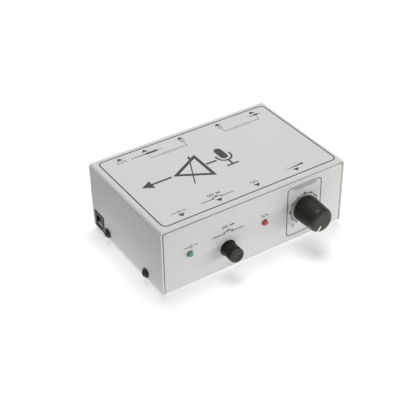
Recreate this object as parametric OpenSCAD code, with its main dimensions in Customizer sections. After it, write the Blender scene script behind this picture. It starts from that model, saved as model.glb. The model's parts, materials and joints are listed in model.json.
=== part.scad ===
// Desktop microphone preamplifier: a folded steel case with a gain knob, a phantom power button,
// two signal lamps, a power switch in the left wall and a row of sockets at the rear.
// The origin lies on the desk, under the middle of the whole object. The front looks along -Y.
// Places along X are measured from the left wall, along Y from the front panel's face,
// and heights from the lower edge of the cover's walls. The controls and sockets stand at
// shares of the case's width.

/* [Case] */
// Width over the cover's side walls
case_w = 135; // [124:1:160]
// Depth from the front panel's face to the rear panel's face
case_d = 86.5; // [78:0.5:100]
// Height of the cover's side walls
cover_h = 46.4; // [44:0.2:56]
// Thickness of the folded steel sheet
sheet_t = 1.2; // [1:0.1:1.4]
// Outside radius of the cover's two bends
cover_bend_r = 2.2; // [1.8:0.1:3.5]
// Outside radius of the chassis bends
chassis_bend_r = 1.6; // [1.6:0.1:2.2]
// Gap between the chassis panels and the cover
panel_gap = 0.5; // [0.3:0.1:0.7]
// Radius of the panels' upper corners
panel_corner_r = 1.8; // [1:0.1:3]
// How far the chassis floor lies below the cover's walls
floor_drop = 0.8; // [0.4:0.1:1.2]
// Height of the flanges that take the cover screws, from the underside
flange_h = 9; // [8.2:0.2:9.4]
// Distance from the case's front and rear to the ends of the flanges
flange_margin = 12; // [8:0.5:14]

/* [Feet] */
// Diameter of a rubber foot
foot_d = 10; // [8:0.5:14]
// Height of a rubber foot
foot_h = 2.5; // [2:0.25:4]
// Distance from the case's sides to a foot's middle
foot_inset = 11; // [9:0.5:16]

/* [Cover screws] */
// Diameter of the screws' shanks
screw_d = 3; // [2.5:0.1:3.2]
// Diameter of the screws' heads
screw_head_d = 6.6; // [5.4:0.1:7]
// Height of the screws' heads
screw_head_h = 2.4; // [1.4:0.1:2.6]
// Length of the screws' shanks
screw_l = 5; // [4:0.5:5.5]
// Distance from the front to the front pair of screws
screw_front_y = 19.8; // [16:0.2:30]
// Distance from the rear to the rear pair of screws
screw_back = 19.2; // [19:0.1:30]
// Height of the screws' axes
screw_h = 4; // [3.6:0.1:4.5]

/* [Circuit board] */
// Distance from the case's sides to the board
board_side = 6.5; // [5.5:0.5:9]
// Distance from the rear panel's face to the board
board_back = 4.5; // [4:0.25:6]
// Thickness of the board
board_t = 1.6; // [1.2:0.2:2]
// Height of the board's upper face
board_h = 10; // [9.6:0.2:10.4]
// Gap between the board and the front panel
board_gap = 0.8; // [0.5:0.1:1.2]
// Width across the flats of a standoff
standoff_af = 5.5; // [5:0.5:6]
// Distance from the board's side edges to a standoff's axis
standoff_inset = 4.5; // [4:0.25:6]
// Distance from the front to the front standoffs
standoff_y = 20; // [18:0.5:22]
// Distance from the jacks' housings to the axes of the rear standoffs
standoff_clear = 4.8; // [4.2:0.1:8]
// Diameter of the board screws
board_screw_d = 3; // [2.5:0.1:3]

/* [Gain control] */
// Place of the knob's axis, as a share of the width
knob_at = 0.7726; // [0.73:0.0001:0.8]
// Height of the axes of the knob and the sockets
axis_h = 22.4; // [22:0.1:24]
// Diameter of the knob at its base
knob_d = 18; // [17:0.1:20]
// Diameter of the knob at its front
knob_front_d = 16.8; // [16.6:0.1:16.9]
// Length of the knob
knob_l = 18; // [15:0.5:22]
// Gap between the knob and the front panel
knob_gap = 1; // [0.6:0.1:1.5]
// Radius of the knob's front edge
knob_edge_r = 3; // [2:0.1:3.1]
// Number of flutes round the knob
flute_count = 18; // [12:1:24]
// Depth of a flute
flute_depth = 0.25; // [0.2:0.05:0.6]
// Diameter of the cutter that makes a flute
flute_d = 2.4; // [1.6:0.1:2.6]
// Diameter of the knob's face cap
knob_cap_d = 10.2; // [8:0.1:10.3]
// Thickness of the knob's face cap
knob_cap_t = 0.8; // [0.5:0.1:1.2]
// Width of the pointer line
pointer_w = 1.1; // [0.6:0.1:1.4]
// Distance from the axis to the pointer's inner end
pointer_start_r = 3.1; // [2:0.1:4.5]
// Depth of the pointer line's groove
pointer_t = 0.4; // [0.3:0.05:0.5]
// Angle that the shaft turns through
gain_sweep = 300; // [270:5:310]
// Diameter of the potentiometer's shaft
shaft_d = 6; // [5.6:0.05:6.1]
// Diameter of the threaded bushing
bushing_d = 7; // [6.9:0.1:8]
// Diameter of the potentiometer's can
pot_can_d = 16.4; // [15.6:0.1:17]
// Depth of the potentiometer's can
pot_can_l = 8; // [7:0.5:10]
// Width across the flats of the bushing's nut
pot_nut_af = 10; // [9.5:0.1:11]
// Thickness of the bushing's nut
pot_nut_t = 2; // [1.5:0.1:2.4]
// Thickness of the washer under the nut
pot_washer_t = 0.5; // [0.3:0.1:0.8]

/* [Phantom button] */
// Place of the button, as a share of the width
button_at = 0.3452; // [0.32:0.0001:0.38]
// Height of the button's axis
button_h = 15.7; // [15.5:0.1:18]
// Diameter of the button
button_d = 9.9; // [8.4:0.1:10.2]
// How far the button stands out of the front panel
button_reach = 10.5; // [8:0.5:13]
// How far the button travels
button_travel = 3; // [2:0.25:3.5]
// Radius of the button's front edge
button_edge_r = 1.2; // [0.7:0.1:1.3]
// Number of ribs round the button's front edge
rib_count = 20; // [16:1:22]
// Length of a rib
rib_l = 3; // [2:0.25:4]
// Depth of the grooves between the ribs
rib_depth = 0.3; // [0.2:0.05:0.35]
// Diameter of the cutter that makes a groove
rib_d = 1; // [0.8:0.05:1]
// Width of the collar's rim round its sleeve
collar_rim = 0.2; // [0.2:0.05:1]
// How far the collar stands out of the front panel
collar_t = 0.6; // [0.4:0.1:2]
// Width of the square plunger
plunger_w = 3; // [2.4:0.1:3.4]
// Width of the switch housing
switch_w = 8.5; // [8:0.5:10]
// Depth of the switch housing
switch_l = 14; // [12:0.5:16]

/* [Signal lamps] */
// Place of the power lamp, as a share of the width
led_power_at = 0.1444; // [0.12:0.0001:0.19]
// Place of the clip lamp, as a share of the width
led_clip_at = 0.5474; // [0.49:0.0001:0.6]
// Height of the lamps' axes
led_h = 23.2; // [20:0.1:28]
// Diameter of a lamp
led_d = 4; // [3:0.1:5]
// How far a lamp stands out of the front panel
led_reach = 2.4; // [1.6:0.1:3]
// Length of a lamp from its flange to its tip
led_l = 5.8; // [5.4:0.1:7]

/* [Power switch] */
// Distance from the rear to the switch's middle
rocker_back = 8.5; // [8.3:0.1:9]
// Width of the notch in the cover's wall
notch_w = 12.4; // [12:0.1:12.6]
// Height of the notch in the cover's wall
notch_h = 13.2; // [12.8:0.1:14]
// Width of the frame round the rocker
rocker_frame = 2.25; // [2.1:0.05:2.4]
// Angle between the rocker's two positions
rocker_swing = 20; // [14:1:22]
// Depth of the switch body behind the chassis tab
rocker_body_l = 8.5; // [8:0.25:9]

/* [Low-voltage inlet] */
// Place of the inlet, as a share of the width
dc_at = 0.1333; // [0.131:0.0001:0.148]
// Height of the inlet's axis above the board
dc_rise = 6.5; // [6:0.1:7]
// Width of the inlet's housing
dc_w = 9; // [8.8:0.1:9.6]
// Depth of the inlet's housing
dc_l = 13.5; // [12:0.5:14.5]
// Diameter of the hole for the plug
dc_bore_d = 6.4; // [6:0.1:6.6]
// Depth of the hole for the plug
dc_bore_l = 9.8; // [9:0.1:10.5]
// Diameter of the centre pin
dc_pin_d = 2.1; // [1.3:0.1:2.5]

/* [Jack sockets] */
// Place of the output jack, as a share of the width
jack_out_at = 0.2689; // [0.252:0.0001:0.281]
// Place of the input jack, as a share of the width
jack_in_at = 0.8867; // [0.867:0.0001:0.888]
// Diameter of the hole for the plug
jack_bore_d = 6.5; // [6.4:0.05:6.8]
// Depth of the hole for the plug
jack_bore_l = 33; // [31:0.5:34]
// Diameter of the threaded bushing
jack_thread_d = 9.5; // [9:0.1:10]
// How far the bushing stands out of the rear panel
jack_thread_l = 5.5; // [4.5:0.25:7]
// Width of a jack's housing
jack_w = 15; // [13:0.5:15.5]
// Depth of a jack's housing
jack_l = 28.5; // [28:0.5:30]
// Height of a jack's housing
jack_tall = 20.5; // [19:0.5:22]
// Width across the flats of a jack's nut
jack_nut_af = 12.7; // [12:0.1:13]
// Thickness of a jack's nut
jack_nut_t = 2.4; // [1.8:0.1:3]
// Thickness of a jack's washer
jack_washer_t = 0.5; // [0.3:0.1:0.8]

/* [XLR sockets] */
// Place of the output XLR, as a share of the width
xlr_out_at = 0.4652; // [0.445:0.0001:0.474]
// Place of the input XLR, as a share of the width
xlr_in_at = 0.683; // [0.675:0.0001:0.696]
// Width of a flange
xlr_flange_w = 26; // [25:0.25:26.5]
// Height of a flange
xlr_flange_h = 31; // [30.5:0.25:32]
// Thickness of a flange
xlr_flange_t = 2; // [1.8:0.1:2.4]
// Radius of a flange's corners
xlr_corner_r = 2.5; // [1:0.1:3.5]
// Diameter of the barrel behind a flange
xlr_barrel_d = 23.6; // [23:0.1:24]
// Length of the barrel behind a flange
xlr_barrel_l = 17; // [16.5:0.25:20]
// Diameter of the output's well, for the plug's body
xlr_out_bore_d = 16.2; // [16:0.1:16.6]
// Diameter of the input's well, for the plug's shell
xlr_in_bore_d = 19.2; // [19:0.1:19.4]
// Diameter of the input's post, inside the plug's shell
xlr_post_d = 15; // [14.6:0.1:15.4]
// Diameter of a contact pin
xlr_pin_d = 2.4; // [2.3:0.05:2.5]
// Radius of the circle that the pins stand on
xlr_pin_r = 4.9; // [4.6:0.1:5]
// Spacing of the flange screws across
xlr_screw_x = 19; // [18.5:0.1:19.5]
// Spacing of the flange screws upwards
xlr_screw_y = 24; // [23.5:0.1:24.2]
// How far the latch tab travels
latch_travel = 1; // [0.6:0.1:1]
// Width of the latch tab
latch_w = 8.8; // [8:0.1:9.4]

/* [Fits] */
// Radial clearance of a turning shaft
run_gap = 0.05; // [0.02:0.01:0.08]
// Clearance round a fixed piece in its hole
seat_gap = 0.1; // [0.05:0.01:0.15]
// Clearance beside a sliding piece
slide_gap = 0.15; // [0.1:0.01:0.2]

/* [Hidden] */
$fn = 48;

// Through cuts run this far past the faces that they open
past = 1;

// Frame of the case
knob_reach = knob_gap + knob_l;
front_y = -(case_d + jack_thread_l - knob_reach) / 2;
rear_y = front_y + case_d;
left_x = -case_w / 2;
under_z = foot_h;
floor_z = under_z + sheet_t;
wall_z = under_z + floor_drop;
top_z = wall_z + cover_h;
chassis_w = case_w - 2 * (sheet_t + panel_gap);
panel_top_z = top_z - sheet_t - panel_gap;
knob_x = knob_at * case_w;
button_x = button_at * case_w;
led_power_x = led_power_at * case_w;
led_clip_x = led_clip_at * case_w;
dc_x = dc_at * case_w;
jack_out_x = jack_out_at * case_w;
jack_in_x = jack_in_at * case_w;
xlr_out_x = xlr_out_at * case_w;
xlr_in_x = xlr_in_at * case_w;
board_z = wall_z + board_h;
board_under_z = board_z - board_t;
board_x = board_side;
board_y = sheet_t + board_gap;
board_w = case_w - 2 * board_side;
board_d = case_d - board_y - board_back;

// Power switch in a side tab of the chassis: its frame fills the notch
notch_gap = 0.3;
frame_foot = 0.4;
frame_proud = 0.3;
tab_face = sheet_t + panel_gap;
frame_w = notch_w - 2 * notch_gap;
frame_tall = notch_h - notch_gap - frame_foot;
frame_t = tab_face + frame_proud;
rocker_y = case_d - rocker_back;
rocker_h = frame_foot + frame_tall / 2;
bay_w = frame_w - 2 * rocker_frame;
bay_tall = frame_tall - 2 * rocker_frame;
rocker_wall = 0.8;
rocker_body_w = bay_w + 2 * rocker_wall;
rocker_body_tall = bay_tall + 2 * rocker_wall;
tab_rim = 1.2;
tab_w = rocker_body_w + 2 * seat_gap + 2 * tab_rim;
tab_y0 = rocker_y - tab_w / 2;
tab_y1 = rocker_y + tab_w / 2;
tab_top = rocker_h + rocker_body_tall / 2 + seat_gap + tab_rim;
tab_relief = 1;
rocker_w = bay_w - 2 * slide_gap;
rocker_tall = bay_tall - 6 * slide_gap;
rocker_set = 0.9;
rocker_pivot = tab_face + rocker_set;
rocker_pin_d = 1.6;
rocker_depth = 2.6;
rocker_clear = 1;
rocker_heel = 0.6;
rocker_keel = 0.35;
rocker_tilt = rocker_swing / 2;
rocker_dish = 1.3;
blade_w = 2;
blade_t = 0.5;
blade_l = 3;
blade_pitch = 4.4;

// Gain control, along the axis from the panel's face, outwards positive
pot_plate_t = 1.2;
pot_plate_inset = 0.4;
pot_plate_w = pot_can_d - 2 * pot_plate_inset;
pot_back = -sheet_t - pot_plate_t;
wafer_t = 1.6;
wafer_w = 13;
wafer_drop = 10.8;
can_wall = 0.5;
rotor_d = 12;
rotor_t = 2;
bushing_end = 1.5;
bushing_l = pot_washer_t + pot_nut_t + bushing_end;
shaft_short = 3.2;
shaft_tip = knob_reach - shaft_short;
shaft_flat = 1.5;
shaft_flat_l = 9;
skirt_clear = 1.1;
skirt_over = 0.6;
knob_skirt_d = pot_nut_af / cos(30) + 2 * skirt_clear;
knob_skirt_l = bushing_l + skirt_over - knob_gap;
knob_chamfer = 0.3;
knob_taper = atan((knob_d - knob_front_d) / 2 / knob_l);
flute_start = 2;
flute_land = 0.8;
flute_end = knob_l - knob_edge_r - flute_land;
pot_pin_pitch = 5;
pot_pin_y = sheet_t + pot_plate_t + wafer_t / 2;
pointer_angle = 270 - (360 - gain_sweep) / 2;

// Phantom button and its switch, along the axis from the panel's face
button_hole_d = button_d + 2 * slide_gap;
sleeve_wall = 0.25;
sleeve_d = button_hole_d + 2 * sleeve_wall;
sleeve_l = 1.5;
dish_land = 0.3;
dish_rim = button_edge_r + dish_land;
dish_d = button_d - 2 * dish_rim;
dish_depth = 0.35;
button_in = 4.5;
button_back = -sheet_t - button_in;
spring_l = 7;
switch_front = button_back - spring_l;
switch_over = 4;
switch_tall = button_h - board_h + switch_over;
plunger_in = 5;
plunger_out = 6;
spring_wire = 0.5;
spring_clear = 0.5;
spring_turns = 5;
spring_rings = 8;
wire_sides = 6;
switch_pin_pitch = 4;

// Lamps
led_rim = 0.4;
led_flange_d = led_d + 2 * led_rim;
led_flange_t = 1;
led_holder_w = led_flange_d;
led_holder_l = 4.6;
led_holder_over = 2.4;
led_lead_pitch = 2.54;
led_back = led_reach - led_l;

// Solder pins
pin_d = 1;
pin_hole_d = pin_d + 2 * seat_gap;
pin_out = 1.2;
pin_l = board_t + pin_out;

// Low-voltage inlet
dc_h = board_h + dc_rise;
dc_tall = 11;
dc_barrel_d = 8.4;
dc_barrel_l = 0.8;
dc_pin_back = 0.8;

// Jack and XLR sockets
jack_drop = axis_h - board_h;
jack_pin_pitch = 8;
jack_pin_shift = 2;
thread_pitch = 0.5;
thread_depth = 0.25;
xlr_insert_t = 3;
xlr_post_back = 0.8;
xlr_pin_front = 1.5;
xlr_pin_angles = [45, 135, 270];
xlr_contact_wall = 0.3;
xlr_contact_d = xlr_pin_d + 2 * xlr_contact_wall;
xlr_contact_bore = xlr_pin_d + 2 * run_gap;
xlr_lead_d = 1;
xlr_lead_back = 2.5;
xlr_key_w = 3.2;
xlr_key_depth = 1;
xlr_key_l = 10;
xlr_hole_gap = 0.2;
latch_proud = 0.4;
latch_stop = 0.2;
latch_t = xlr_flange_t + latch_proud - latch_travel - latch_stop;
latch_arm_w = 5.6;
latch_arm_t = 1;
latch_arm_l = 9;
latch_tooth = 1.1;
latch_tooth_l = 2;
latch_spring_l = 4.4;
latch_wire = 0.3;
latch_coil_d = 1.4;
latch_turns = 5;
latch_wall = 0.3;
latch_margin = 0.9;
latch_undercut = 1;
latch_floor = xlr_in_bore_d / 2 + latch_wall;
latch_top = xlr_flange_h / 2 - latch_margin;

// A U section standing open upwards on the X axis, with bent corners
module bent_outline(w, h, r) {
    translate([-w / 2, r]) square([w, h - r]);
    translate([-w / 2 + r, 0]) square([w - 2 * r, 2 * r]);
    for (side = [-1, 1]) translate([side * (w / 2 - r), r]) circle(r);
}

module u_section(w, h, t, r) {
    difference() {
        bent_outline(w, h, r);
        translate([0, t]) bent_outline(w - 2 * t, h, r - t);
    }
}

module rounded_rect(w, h, r) {
    square([w - 2 * r, h], center = true);
    square([w, h - 2 * r], center = true);
    for (sx = [-1, 1], sy = [-1, 1]) translate([sx * (w / 2 - r), sy * (h / 2 - r)]) circle(r);
}

// Frames on the case's faces: local Z points out of the face and local Y upwards
module at_front(x, h) {
    translate([left_x + x, front_y, wall_z + h]) rotate([90, 0, 0]) children();
}

module at_rear(x, h) {
    translate([left_x + x, rear_y, wall_z + h]) rotate([90, 0, 180]) children();
}

module at_left(y, h) {
    translate([left_x, front_y + y, wall_z + h]) rotate([90, 0, -90]) children();
}

// A place on the board's upper face
module at_board(p) {
    translate([left_x + p[0], front_y + p[1], board_z]) children();
}

// One unbroken coil of wire along Z, from 0 to its length
function coil_centre(i, mean_d, wire, l, turns) =
    let (a = 360 * i / spring_rings, n = turns * spring_rings)
    [mean_d / 2 * cos(a), mean_d / 2 * sin(a), wire / 2 + (l - wire) * i / n];

function coil_ring(i, mean_d, wire, l, turns) =
    let (a = 360 * i / spring_rings, c = coil_centre(i, mean_d, wire, l, turns))
    [for (k = [0:wire_sides - 1])
        let (b = 360 * k / wire_sides)
        c + wire / 2 * [cos(b) * cos(a), cos(b) * sin(a), sin(b)]];

module coil(mean_d, wire, l, turns) {
    n = turns * spring_rings;
    s = wire_sides;
    points = [for (i = [0:n]) each coil_ring(i, mean_d, wire, l, turns)];
    sides = [for (i = [0:n - 1], k = [0:s - 1])
        let (a = i * s + k, b = i * s + (k + 1) % s)
        each [[a, b, b + s], [a, b + s, a + s]]];
    first = [for (k = [1:s - 2]) [0, k + 1, k]];
    last = [for (k = [1:s - 2]) [n * s, n * s + k, n * s + k + 1]];
    polyhedron(points, concat(sides, first, last));
}

// Least gap between the wire's turns
function coil_gap(mean_d, wire, l, turns) =
    let (n = turns * spring_rings, c = [for (i = [0:n]) coil_centre(i, mean_d, wire, l, turns)])
    min([for (i = [0:n - spring_rings / 2], j = [i + spring_rings / 2:n]) norm(c[i] - c[j])]) - wire;

// A screw with a domed head on Z = 0 and its shank downwards
module dome_screw(d, head_d, head_h, l) {
    edge = head_h / 3;
    rise = head_h - edge;
    dome_r = (pow(head_d / 2, 2) + pow(rise, 2)) / (2 * rise);
    slot_w = head_d / 7;
    slot_l = head_d * 0.55;
    difference() {
        union() {
            intersection() {
                cylinder(h = head_h, d = head_d);
                translate([0, 0, head_h - dome_r]) sphere(dome_r, $fn = 96);
            }
            translate([0, 0, -l]) cylinder(h = l, d = d);
        }
        for (turn = [0, 90])
            rotate(turn)
                translate([-slot_l / 2, -slot_w / 2, edge]) cube([slot_l, slot_w, head_h]);
    }
}

// A hexagonal nut on Z = 0
module hex_nut(af, t, hole_d) {
    difference() {
        cylinder(h = t, d = af / cos(30), $fn = 6);
        translate([0, 0, -past]) cylinder(h = t + 2 * past, d = hole_d);
    }
}

module flat_washer(d, hole_d, t) {
    difference() {
        cylinder(h = t, d = d);
        translate([0, 0, -past]) cylinder(h = t + 2 * past, d = hole_d);
    }
}

// Folded case
screw_rows = [screw_front_y, case_d - screw_back];

module top_cover() {
    color("Gainsboro")
    difference() {
        translate([0, rear_y, top_z])
            rotate([90, 0, 0])
                linear_extrude(case_d)
                    mirror([0, 1, 0]) u_section(case_w, cover_h, sheet_t, cover_bend_r);
        for (side = [-1, 1], y = screw_rows)
            translate([side * case_w / 2, front_y + y, wall_z + screw_h])
                rotate([0, 90, 0])
                    cylinder(h = 4 * sheet_t, d = screw_d + 2 * seat_gap, center = true);
        at_left(rocker_y, 0)
            translate([-notch_w / 2, -past, -sheet_t - past])
                cube([notch_w, notch_h + past, sheet_t + 2 * past]);
    }
}

// One upright flange of the chassis floor, from y0 to y1 behind the front
module side_flange(side, y0, y1, h) {
    edge = side > 0 ? chassis_w / 2 - chassis_bend_r : -chassis_w / 2;
    translate([0, front_y + y1, under_z])
        rotate([90, 0, 0])
            linear_extrude(y1 - y0)
                intersection() {
                    u_section(chassis_w, h, sheet_t, chassis_bend_r);
                    translate([edge, 0]) square([chassis_bend_r, h]);
                }
}

// The strip of floor that a flange is bent from
module flange_strip(side, y0, y1) {
    edge = side > 0 ? chassis_w / 2 - chassis_bend_r : -chassis_w / 2 - past;
    translate([edge, front_y + y0, under_z - past])
        cube([chassis_bend_r + past, y1 - y0, sheet_t + 2 * past]);
}

left_flange_y1 = tab_y0 - tab_relief;
right_flange_y1 = case_d - flange_margin;

module chassis_fold() {
    difference() {
        translate([-chassis_w / 2, 0, under_z])
            rotate([90, 0, 90])
                linear_extrude(chassis_w)
                    translate([(front_y + rear_y) / 2, 0])
                        u_section(case_d, panel_top_z - under_z, sheet_t, chassis_bend_r);
        for (side = [-1, 1])
            translate([side * chassis_w / 2, 0, panel_top_z])
                rotate([90, 0, 0])
                    linear_extrude(2 * case_d, center = true)
                        difference() {
                            square(2 * panel_corner_r, center = true);
                            translate([-side * panel_corner_r, -panel_corner_r]) circle(panel_corner_r);
                        }
        flange_strip(-1, flange_margin, left_flange_y1);
        flange_strip(-1, tab_y0, tab_y1);
        flange_strip(1, flange_margin, right_flange_y1);
    }
}

module xlr_panel_holes() {
    translate([0, 0, -sheet_t - past])
        cylinder(h = sheet_t + 2 * past, d = xlr_barrel_d + 2 * xlr_hole_gap);
    for (side = [-1, 1])
        translate([-side * xlr_screw_x / 2, side * xlr_screw_y / 2, -sheet_t - past])
            cylinder(h = sheet_t + 2 * past, d = screw_d + 2 * seat_gap);
}

module panel_hole(d) {
    translate([0, 0, -sheet_t - past]) cylinder(h = sheet_t + 2 * past, d = d);
}

module chassis() {
    color("LightGray")
    difference() {
        union() {
            chassis_fold();
            side_flange(-1, flange_margin, left_flange_y1, flange_h);
            side_flange(-1, tab_y0, tab_y1, tab_top + floor_drop);
            side_flange(1, flange_margin, right_flange_y1, flange_h);
        }
        for (side = [-1, 1], y = screw_rows)
            translate([side * (chassis_w - sheet_t) / 2, front_y + y, wall_z + screw_h])
                rotate([0, 90, 0])
                    cylinder(h = 2 * sheet_t, d = screw_d + 2 * seat_gap, center = true);
        at_left(rocker_y, rocker_h)
            translate([0, 0, -tab_face - 2 * sheet_t])
                linear_extrude(3 * sheet_t)
                    square([rocker_body_w + 2 * seat_gap, rocker_body_tall + 2 * seat_gap], center = true);
        for (p = standoff_places)
            translate([left_x + p[0], front_y + p[1], under_z - past])
                cylinder(h = sheet_t + 2 * past, d = standoff_shank_d + seat_gap);
        at_front(knob_x, axis_h) panel_hole(bushing_d + 2 * seat_gap);
        at_front(button_x, button_h) panel_hole(sleeve_d + 2 * seat_gap);
        at_front(led_power_x, led_h) panel_hole(led_d + 2 * seat_gap);
        at_front(led_clip_x, led_h) panel_hole(led_d + 2 * seat_gap);
        at_rear(dc_x, dc_h) panel_hole(dc_barrel_d + 2 * seat_gap);
        at_rear(jack_out_x, axis_h) panel_hole(jack_thread_d + 2 * seat_gap);
        at_rear(jack_in_x, axis_h) panel_hole(jack_thread_d + 2 * seat_gap);
        at_rear(xlr_out_x, axis_h) xlr_panel_holes();
        at_rear(xlr_in_x, axis_h) xlr_panel_holes();
    }
}

module cover_screws() {
    color("DimGray")
    for (side = [-1, 1], y = screw_rows)
        translate([side * case_w / 2, front_y + y, wall_z + screw_h])
            rotate([0, side * 90, 0]) dome_screw(screw_d, screw_head_d, screw_head_h, screw_l);
}

module rubber_feet() {
    r = foot_d / 2;
    bevel = foot_h / 5;
    color("DarkSlateGray")
    for (sx = [-1, 1], y = [foot_inset, case_d - foot_inset])
        translate([sx * (case_w / 2 - foot_inset), front_y + y, 0])
            rotate_extrude()
                polygon([[0, 0], [r - bevel, 0], [r, bevel], [r, foot_h], [0, foot_h]]);
}

// Circuit board and what holds it
standoff_step = 1.3;
standoff_shank_d = standoff_af - standoff_step;
standoff_rear_y = case_d - sheet_t - jack_l - standoff_clear;
standoff_places = [for (x = [board_x + standoff_inset, board_x + board_w - standoff_inset],
        y = [standoff_y, standoff_rear_y]) [x, y]];

module board_standoffs() {
    color("Silver")
    for (p = standoff_places)
        translate([left_x + p[0], front_y + p[1], under_z])
            difference() {
                union() {
                    cylinder(h = sheet_t, d = standoff_shank_d);
                    translate([0, 0, sheet_t])
                        cylinder(h = board_under_z - floor_z, d = standoff_af / cos(30), $fn = 6);
                }
                translate([0, 0, sheet_t]) cylinder(h = board_h + past, d = board_screw_d + 2 * run_gap);
            }
}

board_screw_bite = 4;
board_screw_l = board_t + board_screw_bite;
board_head_d = board_screw_d * 1.8;
board_head_h = board_screw_d * 0.6;

module board_screws() {
    color("Silver")
    for (p = standoff_places)
        at_board(p) dome_screw(board_screw_d, board_head_d, board_head_h, board_screw_l);
}

// Solder pins: each place is [from the left, from the front]
pot_pin_places = [for (i = [-1:1]) [knob_x + i * pot_pin_pitch, pot_pin_y]];
switch_pin_places = [for (i = [-1:1], side = [-1, 1])
    [button_x + side * switch_w / 4, -switch_front + switch_l / 2 + i * switch_pin_pitch]];
led_pin_places = [for (x = [led_power_x, led_clip_x], side = [-1, 1])
    [x + side * led_lead_pitch / 2, -led_back + led_holder_l / 2]];
dc_pin_places = [for (s = [0.35, 0.8]) [dc_x, case_d - sheet_t - dc_l * s]];
jack_pin_places = [for (x = [jack_out_x, jack_in_x], i = [-1:1])
    [x, case_d - sheet_t - jack_l / 2 - jack_pin_shift + i * jack_pin_pitch]];
xlr_lead_y = case_d - xlr_barrel_l - xlr_lead_back;
xlr_lead_places = [for (x = [xlr_out_x, xlr_in_x], a = xlr_pin_angles)
    [x - xlr_pin_r * cos(a), xlr_lead_y]];
pin_places = concat(pot_pin_places, switch_pin_places, led_pin_places, dc_pin_places,
    jack_pin_places, xlr_lead_places);

module solder_pins(places) {
    for (p = places) at_board(p) translate([0, 0, -pin_l]) cylinder(h = pin_l, d = pin_d, $fn = 16);
}

switch_bay_gap = 2;
switch_bay_x = tab_face + rocker_body_l + switch_bay_gap;
switch_bay_y = tab_y0 - switch_bay_gap;

module main_board() {
    color("SeaGreen")
    difference() {
        at_board([board_x, board_y])
            translate([0, 0, -board_t]) cube([board_w, board_d, board_t]);
        translate([left_x - past, front_y + switch_bay_y, board_under_z - past])
            cube([switch_bay_x + past, case_d, board_t + 2 * past]);
        for (p = standoff_places)
            at_board(p)
                translate([0, 0, -board_t - past])
                    cylinder(h = board_t + 2 * past, d = board_screw_d + 2 * seat_gap);
        for (p = pin_places)
            at_board(p)
                translate([0, 0, -board_t - past])
                    cylinder(h = board_t + 2 * past, d = pin_hole_d, $fn = 16);
    }
}

// Gain control
module knob_outline(inset) {
    r0 = knob_d / 2 - inset;
    r1 = knob_front_d / 2 - inset;
    l = knob_l - inset;
    arc = [for (a = [0:15:90]) [r1 - knob_edge_r * (1 - cos(a)), l - knob_edge_r * (1 - sin(a))]];
    polygon(concat([[0, 0], [r0 - knob_chamfer, 0], [r0, knob_chamfer]], arc, [[0, l]]));
}

// The pointer's bar, wrapped over the knob's front edge
module pointer_shape() {
    rotate(pointer_angle)
        intersection() {
            difference() {
                rotate_extrude($fn = 96) knob_outline(0);
                rotate_extrude($fn = 96) knob_outline(pointer_t);
            }
            translate([pointer_start_r, -pointer_w / 2, knob_l - knob_edge_r])
                cube([knob_d, pointer_w, knob_l]);
        }
}

module shaft_profile(gap) {
    intersection() {
        circle(d = shaft_d + 2 * gap);
        translate([-shaft_d, -shaft_d]) square([2 * shaft_d, shaft_d + shaft_flat + gap]);
    }
}

module gain_knob() {
    color("DimGray")
    at_front(knob_x, axis_h)
        translate([0, 0, knob_gap])
            difference() {
                rotate_extrude($fn = 96) knob_outline(0);
                for (i = [0:flute_count - 1])
                    rotate((i + 0.5) * 360 / flute_count)
                        translate([knob_d / 2 + flute_d / 2 - flute_depth, 0, 0])
                            rotate([0, -knob_taper, 0])
                                translate([0, 0, flute_start])
                                    cylinder(h = flute_end - flute_start, d = flute_d, $fn = 24);
                translate([0, 0, knob_l - knob_cap_t])
                    cylinder(h = knob_cap_t + past, d = knob_cap_d + 2 * seat_gap);
                translate([0, 0, -past]) cylinder(h = knob_skirt_l + past, d = knob_skirt_d);
                translate([0, 0, -past])
                    cylinder(h = shaft_tip - shaft_flat_l + past, d = shaft_d + 2 * run_gap);
                translate([0, 0, shaft_tip - knob_gap - shaft_flat_l])
                    linear_extrude(shaft_flat_l + seat_gap) shaft_profile(run_gap);
                pointer_shape();
            }
}

module knob_cap() {
    color("SlateGray")
    at_front(knob_x, axis_h)
        translate([0, 0, knob_gap])
            difference() {
                translate([0, 0, knob_l - knob_cap_t]) cylinder(h = knob_cap_t, d = knob_cap_d);
                rotate(pointer_angle)
                    translate([pointer_start_r, -pointer_w / 2, knob_l - pointer_t])
                        cube([knob_d, pointer_w, pointer_t + past]);
            }
}

module knob_pointer() {
    color("White")
    at_front(knob_x, axis_h) translate([0, 0, knob_gap]) pointer_shape();
}

rotor_gap = 0.4;
rotor_z = pot_back - wafer_t - rotor_gap;

module pot_shaft() {
    color("Silver")
    at_front(knob_x, axis_h) {
        translate([0, 0, rotor_z]) cylinder(h = shaft_tip - shaft_flat_l - rotor_z, d = shaft_d);
        translate([0, 0, shaft_tip - shaft_flat_l]) linear_extrude(shaft_flat_l) shaft_profile(0);
        translate([0, 0, rotor_z - rotor_t]) cylinder(h = rotor_t, d = rotor_d);
    }
}

module pot_bushing() {
    color("Silver")
    at_front(knob_x, axis_h)
        difference() {
            union() {
                translate([-pot_plate_w / 2, -pot_plate_w / 2, pot_back])
                    cube([pot_plate_w, pot_plate_w, pot_plate_t]);
                translate([0, 0, pot_back]) cylinder(h = bushing_l - pot_back, d = bushing_d);
            }
            translate([0, 0, pot_back - past])
                cylinder(h = bushing_l - pot_back + 2 * past, d = shaft_d + 2 * run_gap);
        }
}

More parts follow.
